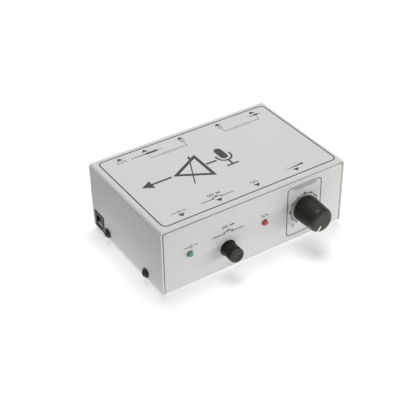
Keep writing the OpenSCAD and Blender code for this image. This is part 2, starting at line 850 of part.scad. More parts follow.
module pot_can() {
    color("LightSteelBlue")
    at_front(knob_x, axis_h)
        difference() {
            translate([0, 0, pot_back - pot_can_l]) cylinder(h = pot_can_l, d = pot_can_d);
            translate([0, 0, pot_back - pot_can_l + can_wall])
                cylinder(h = pot_can_l, d = pot_can_d - 2 * can_wall);
            translate([-wafer_w / 2 - seat_gap, -pot_can_d, pot_back - wafer_t - seat_gap])
                cube([wafer_w + 2 * seat_gap, pot_can_d, pot_can_l]);
        }
}

module pot_wafer() {
    color("Sienna")
    at_front(knob_x, axis_h)
        translate([0, 0, pot_back - wafer_t])
            linear_extrude(wafer_t)
                difference() {
                    union() {
                        circle(d = pot_can_d - 2 * can_wall - 2 * seat_gap);
                        translate([-wafer_w / 2, -wafer_drop]) square([wafer_w, wafer_drop]);
                    }
                    circle(d = shaft_d + 2 * slide_gap);
                }
}

module pot_terminals() {
    rise = axis_h - wafer_drop - board_h;
    color("Silver")
    for (p = pot_pin_places)
        at_board(p) translate([0, 0, -pin_l]) cylinder(h = pin_l + rise, d = pin_d, $fn = 16);
}

module pot_washer() {
    color("Silver")
    at_front(knob_x, axis_h)
        flat_washer(pot_nut_af / cos(30), bushing_d + 2 * seat_gap, pot_washer_t);
}

module pot_nut() {
    color("Silver")
    at_front(knob_x, axis_h)
        translate([0, 0, pot_washer_t]) hex_nut(pot_nut_af, pot_nut_t, bushing_d + 2 * run_gap);
}

// Phantom button and its switch
module phantom_button() {
    edge = [for (a = [0:15:90])
        [button_d / 2 - button_edge_r * (1 - cos(a)), button_reach - button_edge_r * (1 - sin(a))]];
    foot = [[0, button_back], [button_d / 2, button_back]];
    dish_r = (pow(dish_d / 2, 2) + pow(dish_depth, 2)) / (2 * dish_depth);
    color("DimGray")
    at_front(button_x, button_h)
        difference() {
            rotate_extrude() polygon(concat(foot, edge, [[0, button_reach]]));
            for (i = [0:rib_count - 1])
                rotate((i + 0.5) * 360 / rib_count)
                    translate([button_d / 2 + rib_d / 2 - rib_depth, 0, button_reach - rib_l])
                        cylinder(h = rib_l + past, d = rib_d, $fn = 16);
            translate([0, 0, button_reach - dish_depth + dish_r]) sphere(dish_r, $fn = 128);
            translate([-plunger_w / 2 - run_gap, -plunger_w / 2 - run_gap, button_back - past])
                cube([plunger_w + 2 * run_gap, plunger_w + 2 * run_gap, plunger_out + run_gap + past]);
        }
}

module phantom_plunger() {
    color("WhiteSmoke")
    at_front(button_x, button_h)
        translate([-plunger_w / 2, -plunger_w / 2, switch_front - plunger_in])
            cube([plunger_w, plunger_w, plunger_in + spring_l + plunger_out]);
}

phantom_coil_d = plunger_w * sqrt(2) + 2 * spring_clear + spring_wire;
phantom_coil_l = spring_l - 2 * run_gap;
echo(phantom_spring_gap = coil_gap(phantom_coil_d, spring_wire, phantom_coil_l, spring_turns));

module phantom_spring() {
    color("Silver")
    at_front(button_x, button_h)
        translate([0, 0, switch_front + run_gap])
            coil(phantom_coil_d, spring_wire, phantom_coil_l, spring_turns);
}

module phantom_switch_housing() {
    slot_w = plunger_w + 2 * slide_gap;
    slot_end = switch_front - plunger_in - button_travel - slide_gap;
    color("DarkSlateGray")
    at_front(button_x, button_h)
        difference() {
            translate([-switch_w / 2, board_h - button_h, switch_front - switch_l])
                cube([switch_w, switch_tall, switch_l]);
            translate([-slot_w / 2, -slot_w / 2, slot_end]) cube([slot_w, slot_w, switch_l]);
        }
}

module phantom_terminals() {
    color("Silver") solder_pins(switch_pin_places);
}

module button_collar() {
    bevel = collar_rim / 2;
    hole_r = button_hole_d / 2;
    rim_r = sleeve_d / 2 + collar_rim;
    color("DimGray")
    at_front(button_x, button_h)
        rotate_extrude()
            polygon([[hole_r, -sheet_t - sleeve_l], [sleeve_d / 2, -sheet_t - sleeve_l], [sleeve_d / 2, 0],
                [rim_r, 0], [rim_r, collar_t - bevel], [rim_r - bevel, collar_t], [hole_r, collar_t]]);
}

// Signal lamps
module lamp(x) {
    at_front(x, led_h) {
        translate([0, 0, led_back]) cylinder(h = led_flange_t, d = led_flange_d);
        translate([0, 0, led_back]) cylinder(h = led_l - led_d / 2, d = led_d);
        translate([0, 0, led_reach - led_d / 2]) sphere(d = led_d);
    }
}

module power_led() {
    color("MediumSeaGreen") lamp(led_power_x);
}

module clip_led() {
    color("Crimson") lamp(led_clip_x);
}

module led_holders() {
    tall = led_h - board_h + led_holder_over;
    color("DarkSlateGray")
    for (x = [led_power_x, led_clip_x])
        at_front(x, led_h)
            translate([-led_holder_w / 2, board_h - led_h, led_back - led_holder_l])
                cube([led_holder_w, tall, led_holder_l]);
}

module led_leads() {
    color("Silver") solder_pins(led_pin_places);
}

// Power switch in the left wall
module power_switch_housing() {
    color("DimGray")
    at_left(rocker_y, rocker_h)
        difference() {
            union() {
                translate([-frame_w / 2, -frame_tall / 2, -tab_face]) cube([frame_w, frame_tall, frame_t]);
                translate([-rocker_body_w / 2, -rocker_body_tall / 2, -tab_face - rocker_body_l])
                    cube([rocker_body_w, rocker_body_tall, rocker_body_l]);
            }
            translate([-bay_w / 2, -bay_tall / 2, -rocker_pivot - rocker_depth - rocker_clear])
                cube([bay_w, bay_tall, rocker_body_l]);
            translate([0, 0, -rocker_pivot])
                rotate([0, 90, 0])
                    cylinder(h = rocker_body_w - rocker_wall, d = rocker_pin_d + 2 * run_gap, center = true);
        }
}

// The rocker lies with its upper half pressed in
module power_rocker() {
    half = rocker_tall / 2;
    peak = rocker_dish + half * tan(rocker_tilt);
    color("DimGray")
    at_left(rocker_y, rocker_h)
        translate([0, 0, -rocker_pivot])
            rotate([-rocker_tilt, 0, 0]) {
                rotate([90, 0, 90])
                    linear_extrude(rocker_w, center = true)
                        polygon([[-half, peak], [0, rocker_dish], [half, peak], [half, -rocker_heel],
                            [half * rocker_keel, -rocker_depth], [-half * rocker_keel, -rocker_depth],
                            [-half, -rocker_heel]]);
                rotate([0, 90, 0])
                    cylinder(h = rocker_body_w - rocker_wall - slide_gap, d = rocker_pin_d, center = true);
            }
}

module power_switch_terminals() {
    color("Silver")
    at_left(rocker_y, rocker_h)
        translate([0, -rocker_body_tall / 4 - blade_t, -tab_face - rocker_body_l - blade_l])
            for (side = [-1, 1])
                translate([side * blade_pitch / 2 - blade_w / 2, 0, 0]) cube([blade_w, blade_t, blade_l]);
}

// Low-voltage inlet
module dc_inlet_body() {
    color("DimGray")
    at_rear(dc_x, dc_h)
        difference() {
            union() {
                translate([-dc_w / 2, -dc_rise, -sheet_t - dc_l]) cube([dc_w, dc_tall, dc_l]);
                translate([0, 0, -sheet_t]) cylinder(h = sheet_t + dc_barrel_l, d = dc_barrel_d);
            }
            translate([0, 0, dc_barrel_l - dc_bore_l]) cylinder(h = dc_bore_l + past, d = dc_bore_d);
        }
}

module dc_inlet_pin() {
    color("Silver")
    at_rear(dc_x, dc_h) {
        translate([0, 0, dc_barrel_l - dc_bore_l])
            cylinder(h = dc_bore_l - dc_pin_back - dc_pin_d / 2, d = dc_pin_d);
        translate([0, 0, dc_barrel_l - dc_pin_back - dc_pin_d / 2]) sphere(d = dc_pin_d);
    }
}

module dc_inlet_terminals() {
    color("Silver") solder_pins(dc_pin_places);
}

// Jack sockets
module jack_housing(x) {
    lead_in = 0.5;
    r = jack_thread_d / 2;
    first_ring = jack_washer_t + jack_nut_t + thread_pitch / 2;
    rings = floor((jack_thread_l - lead_in - first_ring) / thread_pitch - 0.5);
    grooves = [for (i = [0:rings - 1], step = [[0, 0], [thread_depth, 0.5]])
        [r - step[0], first_ring + (i + step[1]) * thread_pitch]];
    at_rear(x, axis_h)
        difference() {
            union() {
                translate([-jack_w / 2, -jack_drop, -sheet_t - jack_l]) cube([jack_w, jack_tall, jack_l]);
                rotate_extrude()
                    polygon(concat([[0, -sheet_t], [r, -sheet_t]], grooves,
                        [[r, first_ring + rings * thread_pitch], [r, jack_thread_l - lead_in],
                        [r - lead_in, jack_thread_l], [0, jack_thread_l]]));
            }
            translate([0, 0, jack_thread_l - jack_bore_l]) cylinder(h = jack_bore_l + past, d = jack_bore_d);
        }
}

module output_jack_housing() {
    color("DimGray") jack_housing(jack_out_x);
}

module input_jack_housing() {
    color("DimGray") jack_housing(jack_in_x);
}

module jack_washers() {
    color("Silver")
    for (x = [jack_out_x, jack_in_x])
        at_rear(x, axis_h)
            flat_washer(jack_nut_af / cos(30), jack_thread_d + 2 * seat_gap, jack_washer_t);
}

module jack_nuts() {
    color("Silver")
    for (x = [jack_out_x, jack_in_x])
        at_rear(x, axis_h)
            translate([0, 0, jack_washer_t])
                hex_nut(jack_nut_af, jack_nut_t, jack_thread_d + 2 * run_gap);
}

module jack_terminals() {
    color("Silver") solder_pins(jack_pin_places);
}

// XLR sockets
module xlr_blank() {
    linear_extrude(xlr_flange_t) rounded_rect(xlr_flange_w, xlr_flange_h, xlr_corner_r);
    translate([0, 0, -xlr_barrel_l]) cylinder(h = xlr_barrel_l, d = xlr_barrel_d);
}

module xlr_well(d) {
    translate([0, 0, -xlr_barrel_l - past])
        cylinder(h = xlr_barrel_l + xlr_flange_t + 2 * past, d = d);
    for (side = [-1, 1])
        translate([-side * xlr_screw_x / 2, side * xlr_screw_y / 2, -past])
            cylinder(h = xlr_flange_t + 2 * past, d = screw_d + 2 * seat_gap);
}

module output_xlr_shell() {
    color("Silver")
    at_rear(xlr_out_x, axis_h)
        difference() {
            xlr_blank();
            xlr_well(xlr_out_bore_d);
            translate([-xlr_key_w / 2, 0, xlr_flange_t - xlr_key_l])
                cube([xlr_key_w, xlr_out_bore_d / 2 + xlr_key_depth, xlr_key_l + past]);
        }
}

module output_xlr_insert() {
    color("DimGray")
    at_rear(xlr_out_x, axis_h)
        translate([0, 0, -xlr_barrel_l])
            difference() {
                cylinder(h = xlr_insert_t, d = xlr_out_bore_d - 2 * run_gap);
                for (a = xlr_pin_angles)
                    translate([xlr_pin_r * cos(a), xlr_pin_r * sin(a), -past])
                        cylinder(h = xlr_insert_t + 2 * past, d = xlr_pin_d + 2 * run_gap);
            }
}

// The contacts' leads: back from each insert and down into the board
module xlr_lead(a) {
    drop = axis_h + xlr_pin_r * sin(a) - board_h + pin_l;
    translate([xlr_pin_r * cos(a), xlr_pin_r * sin(a), -xlr_barrel_l - xlr_lead_back]) {
        cylinder(h = xlr_lead_back, d = xlr_lead_d, $fn = 16);
        sphere(d = xlr_lead_d, $fn = 16);
        rotate([90, 0, 0]) cylinder(h = drop, d = xlr_lead_d, $fn = 16);
    }
}

module xlr_leads() {
    color("Silver")
    for (x = [xlr_out_x, xlr_in_x], a = xlr_pin_angles) at_rear(x, axis_h) xlr_lead(a);
}

module output_xlr_pins() {
    straight = xlr_barrel_l - xlr_pin_front - xlr_pin_d / 2;
    color("Gold")
    at_rear(xlr_out_x, axis_h)
        for (a = xlr_pin_angles)
            translate([xlr_pin_r * cos(a), xlr_pin_r * sin(a), -xlr_barrel_l]) {
                cylinder(h = straight, d = xlr_pin_d);
                translate([0, 0, straight]) sphere(d = xlr_pin_d);
            }
}

module input_xlr_shell() {
    recess_w = latch_w + 2 * slide_gap;
    recess_tall = latch_top + slide_gap - latch_floor + latch_undercut;
    arm_w = latch_arm_w + 2 * slide_gap;
    spring_bay = latch_arm_l + latch_spring_l;
    color("Silver")
    at_rear(xlr_in_x, axis_h)
        difference() {
            xlr_blank();
            xlr_well(xlr_in_bore_d);
            translate([-recess_w / 2, latch_floor - latch_undercut, -past])
                cube([recess_w, recess_tall, xlr_flange_t + 2 * past]);
            translate([-arm_w / 2, 0, -spring_bay]) cube([arm_w, xlr_barrel_d, spring_bay + past]);
        }
}

module input_xlr_insert() {
    color("DimGray")
    at_rear(xlr_in_x, axis_h)
        translate([0, 0, -xlr_barrel_l])
            difference() {
                union() {
                    cylinder(h = xlr_insert_t, d = xlr_in_bore_d - 2 * run_gap);
                    cylinder(h = xlr_barrel_l - xlr_post_back, d = xlr_post_d);
                }
                for (a = xlr_pin_angles)
                    translate([xlr_pin_r * cos(a), xlr_pin_r * sin(a), -past])
                        cylinder(h = xlr_barrel_l + 2 * past, d = xlr_contact_d + 2 * run_gap);
            }
}

module input_xlr_contacts() {
    sleeve_l = xlr_barrel_l - xlr_post_back - xlr_pin_front;
    color("Gold")
    at_rear(xlr_in_x, axis_h)
        for (a = xlr_pin_angles)
            translate([xlr_pin_r * cos(a), xlr_pin_r * sin(a), -xlr_barrel_l])
                difference() {
                    cylinder(h = sleeve_l, d = xlr_contact_d);
                    translate([0, 0, xlr_insert_t]) cylinder(h = xlr_barrel_l, d = xlr_contact_bore);
                }
}

// The latch: a tab in the flange, an arm along the barrel and a tooth that holds the plug
module input_xlr_latch() {
    tab_z = latch_travel + latch_stop;
    color("Silver")
    at_rear(xlr_in_x, axis_h) {
        translate([-latch_w / 2, latch_floor, tab_z])
            cube([latch_w, latch_top - slide_gap - latch_floor, latch_t]);
        translate([-latch_arm_w / 2, latch_floor, -latch_arm_l])
            cube([latch_arm_w, latch_arm_t, latch_arm_l + tab_z]);
        translate([-latch_arm_w / 4, latch_floor - latch_tooth, -latch_arm_l])
            cube([latch_arm_w / 2, latch_tooth, latch_tooth_l]);
    }
}

latch_coil_l = latch_spring_l - 2 * run_gap;
echo(latch_spring_gap = coil_gap(latch_coil_d, latch_wire, latch_coil_l, latch_turns));

module latch_spring() {
    color("Silver")
    at_rear(xlr_in_x, axis_h)
        translate([0, latch_floor + latch_arm_t / 2, -latch_arm_l - latch_spring_l + run_gap])
            coil(latch_coil_d, latch_wire, latch_coil_l, latch_turns);
}

xlr_screw_end = 1.5;
xlr_screw_l = xlr_flange_t + sheet_t + xlr_screw_end;
xlr_head_d = screw_d * 1.8;
xlr_head_h = screw_d * 0.55;

module xlr_screws() {
    color("DimGray")
    for (x = [xlr_out_x, xlr_in_x], side = [-1, 1])
        at_rear(x, axis_h)
            translate([-side * xlr_screw_x / 2, side * xlr_screw_y / 2, xlr_flange_t])
                dome_screw(screw_d, xlr_head_d, xlr_head_h, xlr_screw_l);
}

// Electronics on the board: columns are shares of the board's width, rows shares of the case's depth
pin_pitch = 2.54;
amp_l = 9.4;
amp_w = 6.4;
amp_t = 3.3;
amp_stand = 0.5;
amp_leg_w = 0.5;
amp_leg_t = 0.35;
amp_columns = [0.455, 0.57, 0.685];
amp_row = 0.416;
supply_can_d = 10;
supply_can_h = 16;
supply_columns = [0.122, 0.22];
supply_row = 0.53;
signal_can_d = 6.3;
signal_can_h = 11;
signal_columns = [0.445, 0.518, 0.591, 0.664];
signal_row = 0.278;
can_bead = 0.4;
film_l = 7.2;
film_t = 3;
film_tall = 7;
film_corner_r = 0.5;
film_columns = [0.44, 0.522, 0.604, 0.686];
film_row = 0.6;
resistor_d = 2.3;
resistor_l = 6.4;
resistor_wire_d = 0.6;
resistor_span = 10;
resistor_gap = 0.1;
resistor_lift = resistor_d / 2 + resistor_gap;
resistor_count = 8;
resistor_first = 0.766;
resistor_step = 0.028;
resistor_columns = [for (i = [0:resistor_count - 1]) resistor_first + resistor_step * i];
resistor_row = 0.416;
coil_core_d = 10;
coil_core_h = 11;
coil_winding_d = 8.6;
coil_rim = 1.5;
coil_column = 0.16;
coil_row = 0.347;
regulator_w = 10;
regulator_t = 4.4;
regulator_tall = 9;
regulator_tab_t = 1.3;
regulator_tab_tall = 15.4;
regulator_leg_w = 0.8;
regulator_leg_t = 0.6;
regulator_leg_l = 4;
regulator_hole_d = 3.6;
regulator_column = 0.307;
regulator_row = 0.416;

module on_board(column, row) {
    at_board([board_x + column * board_w, row * case_d]) children();
}

module dip_amplifier() {
    leg_y = (amp_w + amp_leg_t) / 2;
    translate([-amp_l / 2, -amp_w / 2, amp_stand]) cube([amp_l, amp_w, amp_t]);
    for (i = [-1.5:1.5], side = [-1, 1])
        translate([i * pin_pitch - amp_leg_w / 2, side * leg_y - amp_leg_t / 2, 0])
            cube([amp_leg_w, amp_leg_t, amp_stand + amp_t / 2]);
}

module op_amps() {
    color("DimGray") for (column = amp_columns) on_board(column, amp_row) dip_amplifier();
}

// A can with a rolled bead near its foot
module capacitor_can(d, h) {
    r = d / 2;
    bead_z = 3 * can_bead;
    rotate_extrude()
        polygon([[0, 0], [r, 0], [r, bead_z], [r - can_bead, bead_z + can_bead], [r, bead_z + 2 * can_bead],
            [r, h - can_bead], [r - can_bead, h], [0, h]]);
}

module electrolytic_capacitors() {
    color("MidnightBlue") {
        for (column = supply_columns)
            on_board(column, supply_row) capacitor_can(supply_can_d, supply_can_h);
        for (column = signal_columns)
            on_board(column, signal_row) capacitor_can(signal_can_d, signal_can_h);
    }
}

module film_capacitors() {
    color("Firebrick")
    for (column = film_columns)
        on_board(column, film_row)
            linear_extrude(film_tall) rounded_rect(film_l, film_t, film_corner_r);
}

// A resistor lying along Y, with its wires bent down to the board
module axial_resistor() {
    translate([0, 0, resistor_lift])
        rotate([90, 0, 0]) {
            cylinder(h = resistor_l, d = resistor_d, center = true, $fn = 24);
            cylinder(h = resistor_span, d = resistor_wire_d, center = true, $fn = 16);
        }
    for (side = [-1, 1])
        translate([0, side * (resistor_span - resistor_wire_d) / 2, 0])
            cylinder(h = resistor_lift, d = resistor_wire_d, $fn = 16);
}

module resistors() {
    color("Tan")
    for (column = resistor_columns) on_board(column, resistor_row) axial_resistor();
}

module converter_coil() {
    r = coil_core_d / 2;
    w = coil_winding_d / 2;
    h = coil_core_h;
    slope = r - w;
    color("SaddleBrown")
    on_board(coil_column, coil_row)
        rotate_extrude()
            polygon([[0, 0], [r, 0], [r, coil_rim], [w, coil_rim + slope], [w, h - coil_rim - slope],
                [r, h - coil_rim], [r, h], [0, h]]);
}

module regulator() {
    w = regulator_w;
    t = regulator_t;
    hole_z = regulator_leg_l + (regulator_tall + regulator_tab_tall) / 2;
    color("DimGray")
    on_board(regulator_column, regulator_row)
        difference() {
            union() {
                translate([-w / 2, 0, regulator_leg_l]) cube([w, t, regulator_tall]);
                translate([-w / 2, t - regulator_tab_t, regulator_leg_l])
                    cube([w, regulator_tab_t, regulator_tab_tall]);
                for (i = [-1:1])
                    translate([i * pin_pitch - regulator_leg_w / 2, t / 2, 0])
                        cube([regulator_leg_w, regulator_leg_t, regulator_leg_l + past]);
            }
            translate([0, t / 2, hole_z]) rotate([-90, 0, 0]) cylinder(h = t, d = regulator_hole_d);
        }
}

top_cover();
chassis();
cover_screws();
rubber_feet();
board_standoffs();
main_board();
board_screws();
gain_knob();
knob_cap();
knob_pointer();
pot_shaft();
pot_bushing();
pot_can();
pot_wafer();
pot_terminals();
pot_washer();
pot_nut();
phantom_button();
phantom_plunger();
phantom_spring();
phantom_switch_housing();
phantom_terminals();
button_collar();
power_led();
clip_led();
led_holders();
led_leads();
power_switch_housing();
power_rocker();
power_switch_terminals();
dc_inlet_body();
dc_inlet_pin();
dc_inlet_terminals();
output_jack_housing();
input_jack_housing();
jack_washers();
jack_nuts();
jack_terminals();
output_xlr_shell();
output_xlr_insert();
output_xlr_pins();
input_xlr_shell();
input_xlr_insert();
input_xlr_contacts();
xlr_leads();
input_xlr_latch();
latch_spring();
xlr_screws();
op_amps();
electrolytic_capacitors();
film_capacitors();
resistors();
converter_coil();
regulator();
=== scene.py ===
import json
import math

import bmesh
import bpy
from mathutils import Matrix, Vector


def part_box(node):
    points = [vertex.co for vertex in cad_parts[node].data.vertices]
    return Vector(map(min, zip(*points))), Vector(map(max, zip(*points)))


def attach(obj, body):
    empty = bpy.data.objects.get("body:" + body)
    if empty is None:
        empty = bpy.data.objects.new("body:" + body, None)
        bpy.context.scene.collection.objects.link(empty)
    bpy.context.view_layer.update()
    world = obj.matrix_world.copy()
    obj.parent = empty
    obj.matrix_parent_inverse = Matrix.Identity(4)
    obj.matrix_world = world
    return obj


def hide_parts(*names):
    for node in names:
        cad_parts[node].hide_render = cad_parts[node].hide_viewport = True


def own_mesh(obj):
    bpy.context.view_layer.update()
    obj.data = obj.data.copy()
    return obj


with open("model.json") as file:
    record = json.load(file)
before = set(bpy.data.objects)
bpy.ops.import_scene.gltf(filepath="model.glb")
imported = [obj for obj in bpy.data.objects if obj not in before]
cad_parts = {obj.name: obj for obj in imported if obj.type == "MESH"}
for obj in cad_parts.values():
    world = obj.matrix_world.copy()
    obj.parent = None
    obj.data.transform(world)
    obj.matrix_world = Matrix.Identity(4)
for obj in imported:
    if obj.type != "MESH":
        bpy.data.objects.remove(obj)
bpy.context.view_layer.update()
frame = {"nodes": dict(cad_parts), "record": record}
nodes = frame["nodes"]

MM = 0.001

# Frame of the case: prints are placed in mm from its left wall, its front and its top
cover_low, cover_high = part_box("top_cover")
LEFT, FRONT, WALL = cover_low.x, cover_low.y, cover_low.z
TOP = cover_high.z


def on_top(u, v, w):
    """u mm from the left wall, v mm from the front, w mm above the cover."""
    return Vector((LEFT + u * MM, FRONT + v * MM, TOP + w * MM))


def on_front(u, h, w):
    """u mm from the left wall, h mm above the walls' lower edge, w mm out of the panel."""
    return Vector((LEFT + u * MM, FRONT - w * MM, WALL + h * MM))


# Camera, fitted to the corners of the case in the photograph
AZIMUTH, ELEVATION, ROLL = math.radians(-32.413), math.radians(35.863), math.radians(-1.099)
CAMERA_PLACE = Vector((-0.29193, -0.43277, 0.40181))
LENS, SENSOR = 91.06, 36

scene = bpy.context.scene
scene.view_settings.view_transform = "Standard"

camera_data = bpy.data.cameras.new("camera")
camera_data.sensor_width = SENSOR
camera_data.sensor_fit = "HORIZONTAL"
camera_data.lens = LENS
camera_data.clip_start = 0.01
camera = bpy.data.objects.new("camera", camera_data)
scene.collection.objects.link(camera)
back = Vector((math.sin(AZIMUTH) * math.cos(ELEVATION), -math.cos(AZIMUTH) * math.cos(ELEVATION),
               math.sin(ELEVATION)))
right = Vector((math.cos(AZIMUTH), math.sin(AZIMUTH), 0))
up = back.cross(right)
cam_x = right * math.cos(ROLL) + up * math.sin(ROLL)
cam_y = up * math.cos(ROLL) - right * math.sin(ROLL)
turn = Matrix((cam_x, cam_y, back)).transposed()
camera.matrix_world = Matrix.Translation(CAMERA_PLACE) @ turn.to_4x4()
scene.camera = camera


def feed(tree, socket, value):
    """Links a node's output to a socket, or sets the socket to a plain value."""
    if isinstance(value, bpy.types.NodeSocket):
        tree.links.new(value, socket)
    else:
        socket.default_value = value


def add_node(tree, kind, inputs=None, operation=None):
    """A new node; inputs maps a socket's name or number to a value or to another node's output."""
    made = tree.nodes.new(kind)
    if operation:
        made.operation = operation
    for key, value in (inputs or {}).items():
        feed(tree, made.inputs[key], value)
    return made


def seen_directly(tree):
    """1 for what the camera, a mirror or clear plastic sees, 0 for what only lights other surfaces."""
    path = add_node(tree, "ShaderNodeLightPath").outputs
    glossy = add_node(tree, "ShaderNodeMath", {0: path["Is Camera Ray"], 1: path["Is Glossy Ray"]},
                      "MAXIMUM")
    either = add_node(tree, "ShaderNodeMath", {0: glossy.outputs[0], 1: path["Is Transmission Ray"]},
                      "MAXIMUM")
    return either.outputs[0]


# World: a weak dome lights the object, and white is seen behind it
WHITE = (1, 1, 1, 1)
DOME_STRENGTH, SEEN_STRENGTH = 0.15, 1.0

world = bpy.data.worlds.new("studio")
scene.world = world
world.use_nodes = True
sky = world.node_tree
sky.nodes.clear()
dome = add_node(sky, "ShaderNodeBackground", {"Color": WHITE, "Strength": DOME_STRENGTH})
plain = add_node(sky, "ShaderNodeBackground", {"Color": WHITE, "Strength": SEEN_STRENGTH})
chosen = add_node(sky, "ShaderNodeMixShader",
                  {0: seen_directly(sky), 1: dome.outputs[0], 2: plain.outputs[0]})
add_node(sky, "ShaderNodeOutputWorld", {0: chosen.outputs[0]})

# Floor: pale paper that keeps the shadow near the object, and turns white further out
FLOOR_HALF = 3.0
PAPER = (0.8, 0.8, 0.8, 1)
NEAR, FAR = 0.4, 1.0
GLOW_NEAR, GLOW_FAR = 0.42, 1.0

floor_mesh = bpy.data.meshes.new("floor")
floor_mesh.from_pydata([(-FLOOR_HALF, -FLOOR_HALF, 0), (FLOOR_HALF, -FLOOR_HALF, 0),
                        (FLOOR_HALF, FLOOR_HALF, 0), (-FLOOR_HALF, FLOOR_HALF, 0)], [], [(0, 1, 2, 3)])
floor = bpy.data.objects.new("floor", floor_mesh)
scene.collection.objects.link(floor)
floor_mat = bpy.data.materials.new("floor")
floor_mat.use_nodes = True
ground = floor_mat.node_tree
ground.nodes.clear()
paper = add_node(ground, "ShaderNodeBsdfDiffuse", {"Color": PAPER})
floor_place = add_node(ground, "ShaderNodeTexCoord").outputs["Object"]
distance = add_node(ground, "ShaderNodeVectorMath", {0: floor_place}, "LENGTH")
whiter = add_node(ground, "ShaderNodeMapRange",
                  {"Value": distance.outputs["Value"], "From Min": NEAR, "From Max": FAR,
                   "To Min": GLOW_NEAR, "To Max": GLOW_FAR})
lift = add_node(ground, "ShaderNodeMath", {0: seen_directly(ground), 1: whiter.outputs[0]}, "MULTIPLY")
glow = add_node(ground, "ShaderNodeEmission", {"Color": WHITE, "Strength": lift.outputs[0]})
both = add_node(ground, "ShaderNodeAddShader", {0: paper.outputs[0], 1: glow.outputs[0]})
add_node(ground, "ShaderNodeOutputMaterial", {0: both.outputs[0]})
floor_mesh.materials.append(floor_mat)


def area_light(name, place, target, width, height, power):
    data = bpy.data.lights.new(name, "AREA")
    data.shape = "RECTANGLE"
    data.size = width
    data.size_y = height
    data.energy = power
    lamp = bpy.data.objects.new(name, data)
    lamp.location = place
    lamp.rotation_euler = (Vector(target) - Vector(place)).to_track_quat("-Z", "Y").to_euler()
    scene.collection.objects.link(lamp)
    return lamp


# Lamps: one above, one low at the front right, and a light table that throws soft light upwards
MIDDLE = (0, 0, 0.03)
TABLE_X, TABLE_Y = 0.2775, -0.295

area_light("overhead", (0.1, 0.2, 1.25), MIDDLE, 0.7, 0.7, 12.5)
front_light = area_light("front", (0.9, -0.8, 0.13), MIDDLE, 1.0, 0.22, 6.2)
front_light.visible_glossy = False  # no glare on the cover, seen from behind
table_light = area_light("table", (TABLE_X, TABLE_Y, 0.002), (TABLE_X, TABLE_Y, 1.0), 0.725, 0.71, 1.0)
table_light.visible_camera = False

BEVEL_SAMPLES = 6
NOISE_ROUGHNESS = 0.55
SMOOTHEST = 0.02


